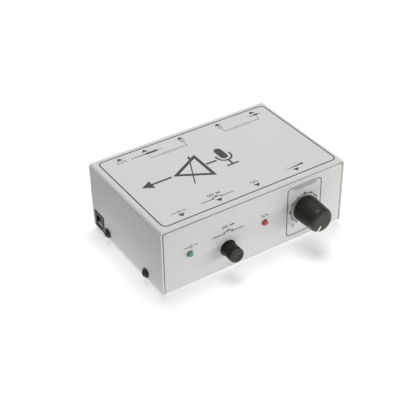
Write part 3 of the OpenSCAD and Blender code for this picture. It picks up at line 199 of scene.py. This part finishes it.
class Surface:
    """A Principled material and the small node helpers that its detail needs."""

    def __init__(self, name, color, rough, metal=0.0):
        self.material = bpy.data.materials.new(name)
        self.material.use_nodes = True
        self.tree = self.material.node_tree
        self.shader = self.tree.nodes["Principled BSDF"]
        self.color = color
        self.rough = rough
        self.shader.inputs["Base Color"].default_value = (*color, 1)
        self.shader.inputs["Roughness"].default_value = rough
        self.shader.inputs["Metallic"].default_value = metal
        self.place = self.node("ShaderNodeTexCoord").outputs["Object"]
        self.normal = None

    def node(self, kind, inputs=None, operation=None):
        return add_node(self.tree, kind, inputs, operation)

    def stretched(self, scale):
        return self.node("ShaderNodeMapping", {"Vector": self.place, "Scale": scale}).outputs[0]

    def noise(self, feature_mm, detail=3.0, vector=None):
        made = self.node("ShaderNodeTexNoise", {
            "Vector": vector or self.place, "Scale": 1 / (feature_mm * MM), "Detail": detail,
            "Roughness": NOISE_ROUGHNESS})
        return made.outputs["Fac"]

    def cells(self, feature_mm):
        made = self.node("ShaderNodeTexVoronoi", {"Vector": self.place, "Scale": 1 / (feature_mm * MM)})
        return made.outputs["Distance"]

    def remap(self, value, low, high, to_low, to_high):
        made = self.node("ShaderNodeMapRange", {
            "Value": value, "From Min": low, "From Max": high, "To Min": to_low, "To Max": to_high})
        return made.outputs[0]

    def math(self, operation, a, b=0.0):
        return self.node("ShaderNodeMath", {0: a, 1: b}, operation).outputs[0]

    def product(self, first, *others):
        for other in others:
            first = self.math("MULTIPLY", first, other)
        return first

    def coordinate(self, axis):
        return self.node("ShaderNodeSeparateXYZ", {"Vector": self.place}).outputs[axis]

    def along(self, axis, start, end):
        """0 at start, 1 at end, both mm along an axis of the part's frame."""
        return self.remap(self.coordinate(axis), start * MM, end * MM, 0, 1)

    def band(self, axis, low, low_full, high_full, high):
        """1 from low_full to high_full, 0 outside low and high, all mm along an axis."""
        return self.product(self.along(axis, low, low_full), self.along(axis, high, high_full))

    def polar(self, x, z):
        """Radius in m and angle about an axis along Y, which passes through x and z in mm."""
        dx = self.math("SUBTRACT", self.coordinate("X"), x * MM)
        dz = self.math("SUBTRACT", self.coordinate("Z"), z * MM)
        square = self.math("ADD", self.product(dx, dx), self.product(dz, dz))
        return self.math("SQRT", square), self.math("ARCTAN2", dz, dx)

    def tint(self, mask, color, amount=1.0):
        """Lays a second colour over the base where the mask is 1."""
        base = self.shader.inputs["Base Color"]
        made = self.node("ShaderNodeMix")
        made.data_type = "RGBA"
        feed(self.tree, made.inputs["Factor"], self.product(mask, amount))
        feed(self.tree, made.inputs[6], base.links[0].from_socket if base.links else (*self.color, 1))
        feed(self.tree, made.inputs[7], (*color, 1))
        feed(self.tree, base, made.outputs[2])
        return self

    def vary(self, feature_mm, spread):
        """Lighter and darker clouds of the base colour."""
        dark = tuple(c * (1 - spread) for c in self.color)
        light = tuple(min(1.0, c * (1 + spread)) for c in self.color)
        mask = self.noise(feature_mm)
        self.tint(self.remap(mask, 0.5, 0.3, 0, 1), dark)
        return self.tint(self.remap(mask, 0.5, 0.7, 0, 1), light)

    def gloss(self, feature_mm, spread, vector=None):
        """Smoother and rougher clouds."""
        mask = self.noise(feature_mm, 4.0, vector)
        low, high = max(SMOOTHEST, self.rough - spread), min(1.0, self.rough + spread)
        feed(self.tree, self.shader.inputs["Roughness"], self.remap(mask, 0.3, 0.7, low, high))
        return self

    def polish(self, mask, rough):
        """Smoother where the mask is 1; comes after gloss."""
        socket = self.shader.inputs["Roughness"]
        made = self.node("ShaderNodeMix", {"Factor": mask, 2: socket.links[0].from_socket, 3: rough})
        feed(self.tree, socket, made.outputs[0])
        return self

    def shine(self, level):
        self.shader.inputs["Specular IOR Level"].default_value = level
        return self

    def bent(self, normal):
        self.normal = normal
        feed(self.tree, self.shader.inputs["Normal"], normal)
        return self

    def bump(self, value, depth_mm, strength):
        inputs = {"Height": value, "Strength": strength, "Distance": depth_mm * MM}
        if self.normal:
            inputs["Normal"] = self.normal
        return self.bent(self.node("ShaderNodeBump", inputs).outputs[0])

    def bevel(self, radius_mm):
        made = self.node("ShaderNodeBevel", {"Radius": radius_mm * MM})
        made.samples = BEVEL_SAMPLES
        return made.outputs[0]

    def soft_edges(self, radius_mm):
        """Rounds the look of sharp edges; comes before any bump."""
        return self.bent(self.bevel(radius_mm))

    def edge_wear_and_highlight(self, radius_mm, color, amount):
        """A second colour along edges, broken up by noise: worn edges on metal and plastic, and a
        painted highlight on the powder coat.
        """
        flat = self.node("ShaderNodeNewGeometry").outputs["True Normal"]
        dot = self.node("ShaderNodeVectorMath", {0: self.bevel(radius_mm), 1: flat}, "DOT_PRODUCT")
        edge = self.remap(dot.outputs["Value"], 0.995, 0.85, 0, 1)
        broken = self.remap(self.noise(1.5), 0.35, 0.65, 0.2, 1)
        return self.tint(self.product(edge, broken), color, amount)


surfaces = {}


def keep(slot, surface):
    surfaces[slot] = surface
    return surface


# Powder coat, with painted shade in the gaps between the cover and the front panel: darkest at
# the panel's upper left corner, and at the foot of its right edge
SHEET, GAP = 1.2, 0.5
face_y = FRONT / MM
under_cover = TOP / MM - SHEET
panel_top = under_cover - GAP
wall_inside = -LEFT / MM - SHEET
panel_side = wall_inside - GAP

paint = keep("case_paint", Surface("powder_coat", (0.65, 0.65, 0.637), 0.46))
below_cover = paint.along("Z", under_cover + 0.15, under_cover + 0.05)
inside_left = paint.along("X", -wall_inside - 0.2, -wall_inside - 0.1)
top_gap_shade = paint.product(paint.along("Z", panel_top - 0.07, panel_top - 0.02), below_cover,
                          paint.along("X", 30, -50), inside_left)
left_gap_shade = paint.product(paint.along("X", 0.1 - panel_side, 0.02 - panel_side), inside_left,
                           paint.along("Z", 2, 32), below_cover)
right_gap_shade = paint.product(paint.band("X", panel_side - 0.1, panel_side - 0.02,
                                       wall_inside + 0.1, wall_inside + 0.2), paint.along("Z", 40, 10))
gap_shade = paint.math("MAXIMUM", paint.math("MAXIMUM", top_gap_shade, left_gap_shade), right_gap_shade)
behind_face = paint.band("Y", face_y, face_y + 0.1, face_y + 1.3, face_y + 1.6)
# The powder coat's lighter edges are a painted highlight
paint.vary(22, 0.012).vary(0.9, 0.02).edge_wear_and_highlight(0.3, (0.84, 0.84, 0.825), 0.8)
# The near-black tint in the gaps between cover and panel is painted shade
paint.tint(paint.product(behind_face, gap_shade), (0.02, 0.02, 0.02)).gloss(3, 0.05)
paint.soft_edges(0.2).bump(paint.noise(0.55, 4.0), 0.012, 0.6)

oxide = keep("black_steel", Surface("black_oxide", (0.008, 0.008, 0.008), 0.26)).shine(0.3)
oxide.vary(1.2, 0.3).gloss(0.8, 0.08).edge_wear_and_highlight(0.2, (0.035, 0.035, 0.034), 0.6)
oxide.soft_edges(0.15).bump(oxide.noise(0.3), 0.01, 0.5)

rubber = keep("foot_rubber", Surface("foot_rubber", (0.022, 0.022, 0.022), 0.78))
rubber.vary(2.5, 0.25).gloss(1.5, 0.08).soft_edges(0.3).bump(rubber.noise(0.35), 0.03, 0.6)

steel = keep("plated_steel", Surface("zinc_plated", (0.60, 0.60, 0.59), 0.32, 1.0))
steel.vary(2.0, 0.08).gloss(0.6, 0.08).edge_wear_and_highlight(0.2, (0.75, 0.75, 0.74), 0.6)
steel.soft_edges(0.12).bump(steel.noise(0.25), 0.006, 0.4)

TRACK_CELL = 3.2
laminate = keep("board_laminate", Surface("solder_mask", (0.028, 0.15, 0.06), 0.35))
laminate.tint(laminate.remap(laminate.cells(TRACK_CELL), 0.42, 0.5, 0, 1), (0.06, 0.24, 0.10), 0.8)
laminate.vary(9, 0.08).gloss(2, 0.06).bump(laminate.cells(TRACK_CELL), 0.02, 0.4)

# The knob is lighter on its rounded rim, from RIM_START to RIM_END along Y: a painted highlight
RIM_START, RIM_END = -53.4, -55.4
knob = keep("knob_plastic", Surface("knob_plastic", (0.0079, 0.0088, 0.0032), 0.34)).shine(0.24)
knob.vary(3, 0.15).tint(knob.along("Y", RIM_START, RIM_END), (0.029, 0.0295, 0.0228))
knob.gloss(1.2, 0.06).soft_edges(0.25).bump(knob.noise(0.22, 4.0), 0.012, 0.5)

# The knob's face is paler than its barrel: painted light, where the face is turned to the lamps
face = keep("knob_face", Surface("knob_face", (0.0262, 0.0272, 0.0182), 0.5)).shine(0.3)
face.vary(2, 0.1).gloss(0.8, 0.06).soft_edges(0.15).bump(face.noise(0.18, 4.0), 0.01, 0.5)

pointer = keep("pointer_white", Surface("pointer_paint", (0.86, 0.86, 0.84), 0.5))
pointer.vary(0.8, 0.04).gloss(0.6, 0.06).bump(pointer.noise(0.2), 0.01, 0.4)

phenolic = keep("brown_laminate", Surface("phenolic", (0.21, 0.10, 0.045), 0.5))
phenolic.vary(1.0, 0.2).gloss(1.0, 0.08).bump(phenolic.noise(0.3), 0.015, 0.4)

tinned = keep("tinned_brass", Surface("tinned_brass", (0.66, 0.64, 0.60), 0.28, 1.0))
tinned.vary(0.8, 0.1).gloss(0.5, 0.1).bump(tinned.noise(0.3), 0.01, 0.4)

# The push button's face is painted paler, as if lit, and its rib ends carry painted glints; the rib
# ends are also smoother
BUTTON_X, BUTTON_Z, RIBS = -20.9, 19.0, 20
button = keep("button_plastic", Surface("button_plastic", (0.0108, 0.0114, 0.0074), 0.4)).shine(0.22)
radius, angle = button.polar(BUTTON_X, BUTTON_Z)
front_end = button.along("Y", -45.4, -45.8)
lit_button_face = button.product(front_end, button.remap(radius, 4.5 * MM, 4.0 * MM, 0, 1))
wave = button.math("COSINE", button.product(angle, RIBS))
rib_end_glints = button.product(front_end, button.remap(wave, 0.1, -0.6, 0, 1),
                          button.remap(radius, 4.2 * MM, 4.5 * MM, 0, 1))
# Painted light: the paler face, and the light glints on the rib ends
button.vary(2, 0.15).tint(lit_button_face, (0.013, 0.0134, 0.0075)).tint(rib_end_glints, (0.16, 0.16, 0.155))
button.gloss(0.9, 0.06).polish(rib_end_glints, 0.16)
button.soft_edges(0.2).bump(button.noise(0.2, 4.0), 0.01, 0.5)

white = keep("white_plastic", Surface("white_nylon", (0.74, 0.73, 0.70), 0.5))
white.vary(2, 0.04).gloss(1, 0.06).soft_edges(0.2).bump(white.noise(0.3), 0.01, 0.4)

black = keep("black_plastic", Surface("black_abs", (0.010, 0.010, 0.0095), 0.48)).shine(0.2)
black.vary(2.5, 0.2).gloss(1.0, 0.07).edge_wear_and_highlight(0.2, (0.05, 0.05, 0.05), 0.5)
black.soft_edges(0.2).bump(black.noise(0.25, 4.0), 0.012, 0.5)

rocker = keep("rocker_plastic", Surface("rocker_plastic", (0.014, 0.014, 0.014), 0.3)).shine(0.3)
rocker.vary(2, 0.2).gloss(0.9, 0.06).soft_edges(0.2).bump(rocker.noise(0.3), 0.008, 0.4)

# Lamp lenses are deeper in colour towards the panel, from LENS_TIP to LENS_FOOT along Y
LENS_TIP, LENS_FOOT = -38.2, -36.6
for lens_slot, lens_name, tint_color, deep in (
        ("green_lens", "green_epoxy", (0.17, 0.41, 0.255), (0.055, 0.155, 0.096)),
        ("red_lens", "red_epoxy", (0.61, 0.082, 0.09), (0.26, 0.02, 0.028))):
    lens = keep(lens_slot, Surface(lens_name, tint_color, 0.14)).shine(0.4)
    lens.tint(lens.remap(lens.noise(1.3, 1.0), 0.5, 0.62, 0, 1), deep, 0.5)
    lens.tint(lens.along("Y", LENS_TIP, LENS_FOOT), deep)
    lens.shader.inputs["Coat Weight"].default_value = 0.4
    lens.shader.inputs["Coat Roughness"].default_value = 0.05
    lens.gloss(0.7, 0.04).bump(lens.noise(0.6), 0.006, 0.3)

nickel = keep("nickel", Surface("satin_nickel", (0.60, 0.59, 0.56), 0.3, 1.0))
nickel.vary(3, 0.06).gloss(0.5, 0.08, nickel.stretched((1, 1, 6)))
nickel.edge_wear_and_highlight(0.25, (0.74, 0.73, 0.70), 0.6).soft_edges(0.2).bump(nickel.noise(0.3), 0.006, 0.4)

silver = keep("contact_silver", Surface("silver_contact", (0.80, 0.79, 0.75), 0.22, 1.0))
silver.vary(1, 0.08).gloss(0.4, 0.08).bump(silver.noise(0.25), 0.005, 0.4)

sleeve = keep("capacitor_sleeve", Surface("capacitor_sleeve", (0.016, 0.022, 0.07), 0.26))
sleeve.vary(2, 0.15).gloss(1, 0.06).soft_edges(0.2).bump(sleeve.noise(0.8), 0.02, 0.3)

film = keep("film_red", Surface("film_red", (0.33, 0.035, 0.025), 0.25))
film.vary(1.5, 0.12).gloss(1, 0.05).soft_edges(0.5).bump(film.noise(0.9), 0.03, 0.4)

lacquer = keep("resistor_tan", Surface("resistor_lacquer", (0.50, 0.37, 0.21), 0.35))
lacquer.vary(1.0, 0.1).gloss(0.6, 0.06).bump(lacquer.noise(0.5), 0.015, 0.4)

WIRE_WAVE = 1 / (2.0 * MM) / 3.0
winding = keep("winding_copper", Surface("enamelled_copper", (0.45, 0.19, 0.08), 0.3, 1.0))
rings = winding.node("ShaderNodeTexWave", {"Vector": winding.place, "Scale": WIRE_WAVE})
rings.bands_direction = "Z"
winding.vary(1.2, 0.12).gloss(0.6, 0.08).bump(rings.outputs["Fac"], 0.15, 0.6)

ink = keep("print_ink", Surface("print_ink", (0.040, 0.040, 0.0385), 0.5)).shine(0.3)
ink.vary(0.7, 0.12).gloss(0.8, 0.06).bump(ink.noise(0.4, 4.0), 0.008, 0.4)

# The grey print is paler on the cover than on the front
grey_ink = keep("print_grey", Surface("print_grey", (0.40, 0.40, 0.392), 0.5)).shine(0.3)
grey_ink.vary(0.7, 0.04).tint(grey_ink.along("Z", 48.0, 49.0), (0.49, 0.49, 0.48))
grey_ink.gloss(0.8, 0.06).bump(grey_ink.noise(0.4, 4.0), 0.008, 0.4)

white_ink = keep("print_white", Surface("print_white", (0.80, 0.80, 0.78), 0.5)).shine(0.3)
white_ink.vary(0.7, 0.04).gloss(0.8, 0.06).bump(white_ink.noise(0.4, 4.0), 0.008, 0.4)

for part in frame["record"]["subparts"]:
    mesh = nodes[part["node"]].data
    mesh.materials.clear()
    mesh.materials.append(surfaces[part["material_slot"]].material)


def new_piece(name, bm, slot, body):
    """The finished mesh as a piece on a body, with the look of a material slot."""
    bmesh.ops.recalc_face_normals(bm, faces=bm.faces)
    mesh = bpy.data.meshes.new(name)
    bm.to_mesh(mesh)
    bm.free()
    mesh.materials.append(surfaces[slot].material)
    piece = bpy.data.objects.new(name, mesh)
    scene.collection.objects.link(piece)
    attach(piece, body)
    return piece


# Print: flat shapes in mm, raised a little from the face that they are on
INK_UP, INK_DOWN = 0.02, -0.04
INK_STEP, INK_STEPS = 0.0012, 12
FINE, THIN, THICK, BOLD = 0.42, 0.5, 0.8, 2.2
BORDER_WIDTH, FRAME_WIDTH = 0.88, 0.64
SHORTEST_MITRE = 0.35


def stroke(path, width, closed=False):
    """The left and right edge points of a line with mitred corners."""
    count = len(path)
    sides = []
    for i, point in enumerate(path):
        here = Vector(point)
        before = Vector(path[i - 1]) if closed or i > 0 else None
        after = Vector(path[(i + 1) % count]) if closed or i < count - 1 else None
        a = (here - before).normalized() if before is not None else None
        b = (after - here).normalized() if after is not None else a
        a = a if a is not None else b
        across = Vector((-a.y, a.x))
        normal = Vector((-(a.y + b.y), a.x + b.x))
        normal = normal.normalized() if normal.length > 1e-6 else across
        reach = width / 2 / max(SHORTEST_MITRE, normal.dot(across))
        sides.append((here + normal * reach, here - normal * reach))
    return ("stroke", sides, closed)


def patch(points):
    return ("patch", [Vector(p) for p in points], True)


def arc(cx, cy, r, start, end, steps=24):
    turns = [math.radians(start + (end - start) * i / steps) for i in range(steps + 1)]
    return [(cx + r * math.cos(a), cy + r * math.sin(a)) for a in turns]


def ring(cx, cy, r, width, steps=40):
    return stroke(arc(cx, cy, r, 0, 360, steps)[:-1], width, True)


def disc(cx, cy, r, steps=24):
    return patch(arc(cx, cy, r, 0, 360, steps)[:-1])


def bar(x0, y0, x1, y1):
    return patch([(x0, y0), (x1, y0), (x1, y1), (x0, y1)])


def rounded(x0, y0, x1, y1, r, steps=8):
    return (arc(x1 - r, y0 + r, r, -90, 0, steps) + arc(x1 - r, y1 - r, r, 0, 90, steps)
            + arc(x0 + r, y1 - r, r, 90, 180, steps) + arc(x0 + r, y0 + r, r, 180, 270, steps))


def ellipse(cx, cy, rx, ry, width, steps=28):
    turns = [2 * math.pi * i / steps for i in range(steps)]
    return stroke([(cx + rx * math.cos(a), cy + ry * math.sin(a)) for a in turns], width, True)


def marks(name, shapes, place, slot, body="case"):
    """One printed piece: thin closed prisms on the face that place() maps to."""
    bm = bmesh.new()
    for number, (kind, points, closed) in enumerate(shapes):
        upper = INK_UP - INK_STEP * (number % INK_STEPS)  # shapes that cross don't share a plane
        if kind == "patch":
            low = [bm.verts.new(place(p.x, p.y, INK_DOWN)) for p in points]
            high = [bm.verts.new(place(p.x, p.y, upper)) for p in points]
            bm.faces.new(high)
            bm.faces.new(low[::-1])
            for i in range(len(points)):
                j = (i + 1) % len(points)
                bm.faces.new((low[i], low[j], high[j], high[i]))
            continue
        rows = []
        for one, other in points:
            corners = ((one, INK_DOWN), (one, upper), (other, upper), (other, INK_DOWN))
            rows.append([bm.verts.new(place(p.x, p.y, w)) for p, w in corners])
        for i in range(len(rows) if closed else len(rows) - 1):
            a, b = rows[i], rows[(i + 1) % len(rows)]
            for k in range(4):
                bm.faces.new((a[k], b[k], b[(k + 1) % 4], a[(k + 1) % 4]))
        if not closed:
            bm.faces.new(rows[0])
            bm.faces.new(rows[-1][::-1])
    new_piece(name, bm, slot, body)


def supply_sign(x0, x1, y):
    """Direct current: a line over three dashes."""
    dash = (x1 - x0) / 5
    return [bar(x0, y + 0.35, x1, y + 0.8)] + [
        bar(x0 + 2 * dash * i, y - 0.8, x0 + (2 * i + 1) * dash, y - 0.35) for i in range(3)]


def phone_plug_sign(x0, x1, y):
    """A phone plug that lies along the row, tip to the left."""
    step = (x1 - x0) / 10
    return [patch([(x0, y), (x0 + 0.5 * step, y - 0.45), (x0 + step, y - 0.2), (x0 + step, y + 0.2),
                   (x0 + 0.5 * step, y + 0.45)]),
            bar(x0 + 1.15 * step, y - 0.4, x0 + 2.0 * step, y + 0.4),
            bar(x0 + 2.2 * step, y - 0.4, x0 + 4.6 * step, y + 0.4),
            patch(rounded(x0 + 4.6 * step, y - 0.95, x0 + 8.2 * step, y + 0.95, 0.4)),
            bar(x0 + 8.2 * step, y - 0.2, x1, y + 0.2)]


def three_pin_sign(x, y):
    """A round socket with three contacts."""
    pins = [math.radians(a) for a in (45, 135, 270)]
    return [ring(x, y, 1.35, FINE)] + [
        disc(x + 0.68 * math.cos(a), y + 0.68 * math.sin(a), 0.27, 12) for a in pins]


def power_sign(x0, x1, y):
    """A broken ring with an upright line, between two dashes."""
    x = (x0 + x1) / 2
    return [stroke(arc(x, y, 1.0, 125, 415, 30), FINE), stroke([(x, y + 0.25), (x, y + 1.4)], FINE),
            bar(x0, y - 0.27, x - 2.0, y + 0.27), bar(x + 2.0, y - 0.27, x1, y + 0.27)]


def push_sign(x0, x1, y):
    """A push switch in a line: two contacts, and a bridge with its plunger above them."""
    x = (x0 + x1) / 2
    return [bar(x0, y - 0.85, x - 3.2, y - 0.25), bar(x + 3.2, y - 0.85, x1, y - 0.25),
            disc(x - 2.9, y - 0.55, 0.6, 16), disc(x + 2.9, y - 0.55, 0.6, 16),
            bar(x - 3.4, y + 0.3, x + 3.4, y + 0.85), bar(x - 0.3, y + 0.85, x + 0.3, y + 1.3),
            bar(x - 1.3, y + 1.3, x + 1.3, y + 1.75)]


def on_sign(x0, x1, y):
    """The word ON and the bar of a pressed switch."""
    letter_n = [(x0 + 2.3, y - 0.95), (x0 + 2.3, y + 0.85), (x0 + 3.7, y - 0.85), (x0 + 3.7, y + 0.95)]
    return [ellipse(x0 + 0.8, y, 0.75, 0.85, FINE), stroke(letter_n, FINE),
            bar(x1 - 3.2, y - 0.5, x1, y + 0.5)]


def peak_sign(x0, x1, y):
    """A wave of two periods with its peaks cut off."""
    count, tall, cut = 36, 1.5, 0.8
    path = []
    for i in range(count + 1):
        height = tall * math.sin(4 * math.pi * i / count)
        path.append((x0 + (x1 - x0) * i / count, y + max(-cut, min(cut, height))))
    return [stroke(path, FINE)]


def level_sign(x0, x1, y):
    """A wedge that rises to the right."""
    return [patch([(x0, y - 0.75), (x1, y - 0.75), (x1, y + 0.85)])]


# Cover: border, and arrows to the sockets behind and to the controls in front
SUPPLY, OUT_JACK, OUT_XLR, IN_XLR, IN_JACK = SOCKETS = (18.0, 36.3, 62.8, 92.2, 119.7)
CONTROLS = (20.0, 46.7, 74.2, 103.9)
ARROW_HALF = 2.3

border = rounded(4.7, 4.0, 131.6, 83.3, 3.4)
marks("top_border", [stroke(border, BORDER_WIDTH, True)], on_top, "print_ink")
arrows = [patch([(x - ARROW_HALF, 78.4), (x + ARROW_HALF, 78.4), (x, 81.3)]) for x in SOCKETS]
arrows += [patch([(x + ARROW_HALF, 9.8), (x - ARROW_HALF, 9.8), (x, 6.9)]) for x in CONTROLS]
marks("top_arrows", arrows, on_top, "print_ink")

# Cover: brackets that pair the sockets, with a grey field on each
BRACKET_V, BRACKET_END, FIELD_HALF = 70.3, 73.6, 6.2
brackets, fields = [], []
for x0, x1 in ((OUT_JACK, OUT_XLR), (IN_XLR, IN_JACK)):
    start, end = (x0 + x1) / 2 - FIELD_HALF, (x0 + x1) / 2 + FIELD_HALF
    brackets.append(stroke([(x0, BRACKET_END), (x0, BRACKET_V), (start, BRACKET_V)], FINE))
    brackets.append(stroke([(end, BRACKET_V), (x1, BRACKET_V), (x1, BRACKET_END)], FINE))
    fields.append(patch(rounded(start, BRACKET_V - 1.3, end, BRACKET_V + 1.3, 1.29)))
marks("top_brackets", brackets, on_top, "print_ink")
marks("top_fields", fields, on_top, "print_grey")

# Cover: signs at the arrows
SOCKET_ROW, CONTROL_ROW = 76.1, 12.1
marks("top_socket_signs",
      supply_sign(SUPPLY - 3.4, SUPPLY + 3.4, SOCKET_ROW) + phone_plug_sign(24.4, 48.2, SOCKET_ROW)
      + three_pin_sign(OUT_XLR, SOCKET_ROW) + three_pin_sign(IN_XLR, SOCKET_ROW)
      + phone_plug_sign(115.2, 124.2, SOCKET_ROW), on_top, "print_ink")
marks("top_control_signs",
      power_sign(15.1, 24.9, CONTROL_ROW) + push_sign(35.3, 58.1, 11.9) + on_sign(42.3, 51.2, 15.3)
      + peak_sign(71.6, 76.8, CONTROL_ROW) + level_sign(96.4, 111.4, CONTROL_ROW)
      + [disc(100.9 + 1.5 * i, 14.6, 0.3, 12) for i in range(5)], on_top, "print_ink")

# Cover: signal path, from a microphone through an amplifier of changing gain to the output
microphone = [patch(rounded(72.3, 43.6, 77.7, 56.0, 2.69)),
              stroke([(70.0, 48.6)] + arc(75.0, 46.4, 5.0, 180, 360) + [(80.0, 48.6)], 1.3),
              bar(74.3, 36.6, 75.7, 41.0), bar(70.6, 35.2, 79.4, 36.6)]
amplifier = [stroke([(59.0, 33.2), (59.0, 56.2), (38.6, 44.7)], BOLD, True)]
wires = [bar(60.6, 43.9, 68.4, 45.5), bar(21.4, 43.9, 35.2, 45.5),
         patch([(14.2, 44.7), (21.4, 40.6), (21.4, 48.8)])]
gain_arrow = [stroke([(43.6, 31.0), (55.4, 56.43)], THICK),
              patch([(54.0, 56.7), (56.5, 55.5), (56.4, 59.0)])]
marks("top_signal_path", microphone + amplifier + wires + gain_arrow, on_top, "print_ink")

# Front panel: frame with a grey field, and the scale round the knob
KNOB = (104.3, 22.4)
SCALE_R, DOT_R = 10.3, 10.7
SWEEP_START, SWEEP_STEP, DOTS, LARGE_DOTS = 240, 30, 11, (2, 5, 8)

outline = ([(113.2, 40.6)] + arc(114.4, 38.0, 2.6, 90, 0, 8) + arc(114.4, 7.0, 2.6, 0, -90, 8)
           + arc(93.7, 7.0, 2.6, -90, -180, 8) + arc(93.7, 38.0, 2.6, 180, 90, 8) + [(95.5, 40.6)])
marks("front_frame", [stroke(outline, FRAME_WIDTH)], on_front, "print_ink")
marks("front_field", [patch(rounded(95.3, 37.8, 113.4, 41.5, 1.84))], on_front, "print_grey")
scale = [stroke(arc(*KNOB, SCALE_R, -60, SWEEP_START, 60), THIN)]
for i in range(DOTS):
    turned = math.radians(SWEEP_START - SWEEP_STEP * i)
    scale.append(disc(KNOB[0] + DOT_R * math.cos(turned), KNOB[1] + DOT_R * math.sin(turned),
                      0.9 if i in LARGE_DOTS else 0.58, 16))
marks("dial_scale", scale, on_front, "print_ink")
zero = [ellipse(95.9, 11.4, 0.8, 1.15, FINE)]
ten = [ellipse(113.6, 11.4, 0.8, 1.15, FINE),
       stroke([(110.9, 12.0), (111.7, 12.6), (111.7, 10.2)], FINE)]
marks("dial_numbers", zero + ten, on_front, "print_ink")
marks("front_control_signs",
      power_sign(15.5, 25.0, 28.4) + push_sign(35.4, 58.0, 27.9) + on_sign(42.4, 51.2, 32.3)
      + peak_sign(71.0, 76.6, 28.6), on_front, "print_ink")

# Rocker: a white bar along its lower half
PIVOT = Vector((-64.9, 41.5, 9.95)) * MM
TILT, DISH = math.radians(10), 1.3


def on_rocker(a, s, w):
    """a mm along the switch, s mm down from the crease, w mm out of the lower half."""
    rise = DISH * math.sin(TILT) - s * math.cos(2 * TILT) + w * math.sin(2 * TILT)
    out = DISH * math.cos(TILT) + s * math.sin(2 * TILT) + w * math.cos(2 * TILT)
    return PIVOT + Vector((-out, a, rise)) * MM


marks("rocker_mark", [bar(-2.9, 2.5, 2.9, 3.2)], on_rocker, "print_white", "power_rocker")

# Springs: round wire in place of the CAD's faceted coils
WIRE_SIDES, STEPS_PER_TURN, TURNS = 10, 28, 5


def spring(name, node, mean_d, wire):
    """A wire wound along Y through the node's box; sizes in mm."""
    low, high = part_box(node)
    start = Vector(((low.x + high.x) / 2, low.y, (low.z + high.z) / 2)) / MM
    pitch_length = (high.y - low.y) / MM - wire
    total = TURNS * STEPS_PER_TURN
    bm = bmesh.new()
    rows = []
    for i in range(total + 1):
        a = 2 * math.pi * i / STEPS_PER_TURN
        radial = Vector((math.cos(a), 0, math.sin(a)))
        centre = start + radial * mean_d / 2 + Vector((0, wire / 2 + pitch_length * i / total, 0))
        along = Vector((-math.sin(a) * mean_d / 2, pitch_length / (2 * math.pi * TURNS),
                        math.cos(a) * mean_d / 2)).normalized()
        side = along.cross(radial)
        row = []
        for k in range(WIRE_SIDES):
            b = 2 * math.pi * k / WIRE_SIDES
            spoke = radial * math.cos(b) + side * math.sin(b)
            row.append(bm.verts.new((centre + spoke * wire / 2) * MM))
        rows.append(row)
    for i in range(total):
        for k in range(WIRE_SIDES):
            n = (k + 1) % WIRE_SIDES
            bm.faces.new((rows[i][k], rows[i][n], rows[i + 1][n], rows[i + 1][k])).smooth = True
    bm.faces.new(rows[0][::-1])
    bm.faces.new(rows[-1])
    piece = new_piece(name, bm, "plated_steel", "case")
    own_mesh(piece)
    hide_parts(node)


spring("phantom_coil", "phantom_spring", 5.743, 0.5)
spring("latch_coil", "latch_spring", 1.4, 0.3)
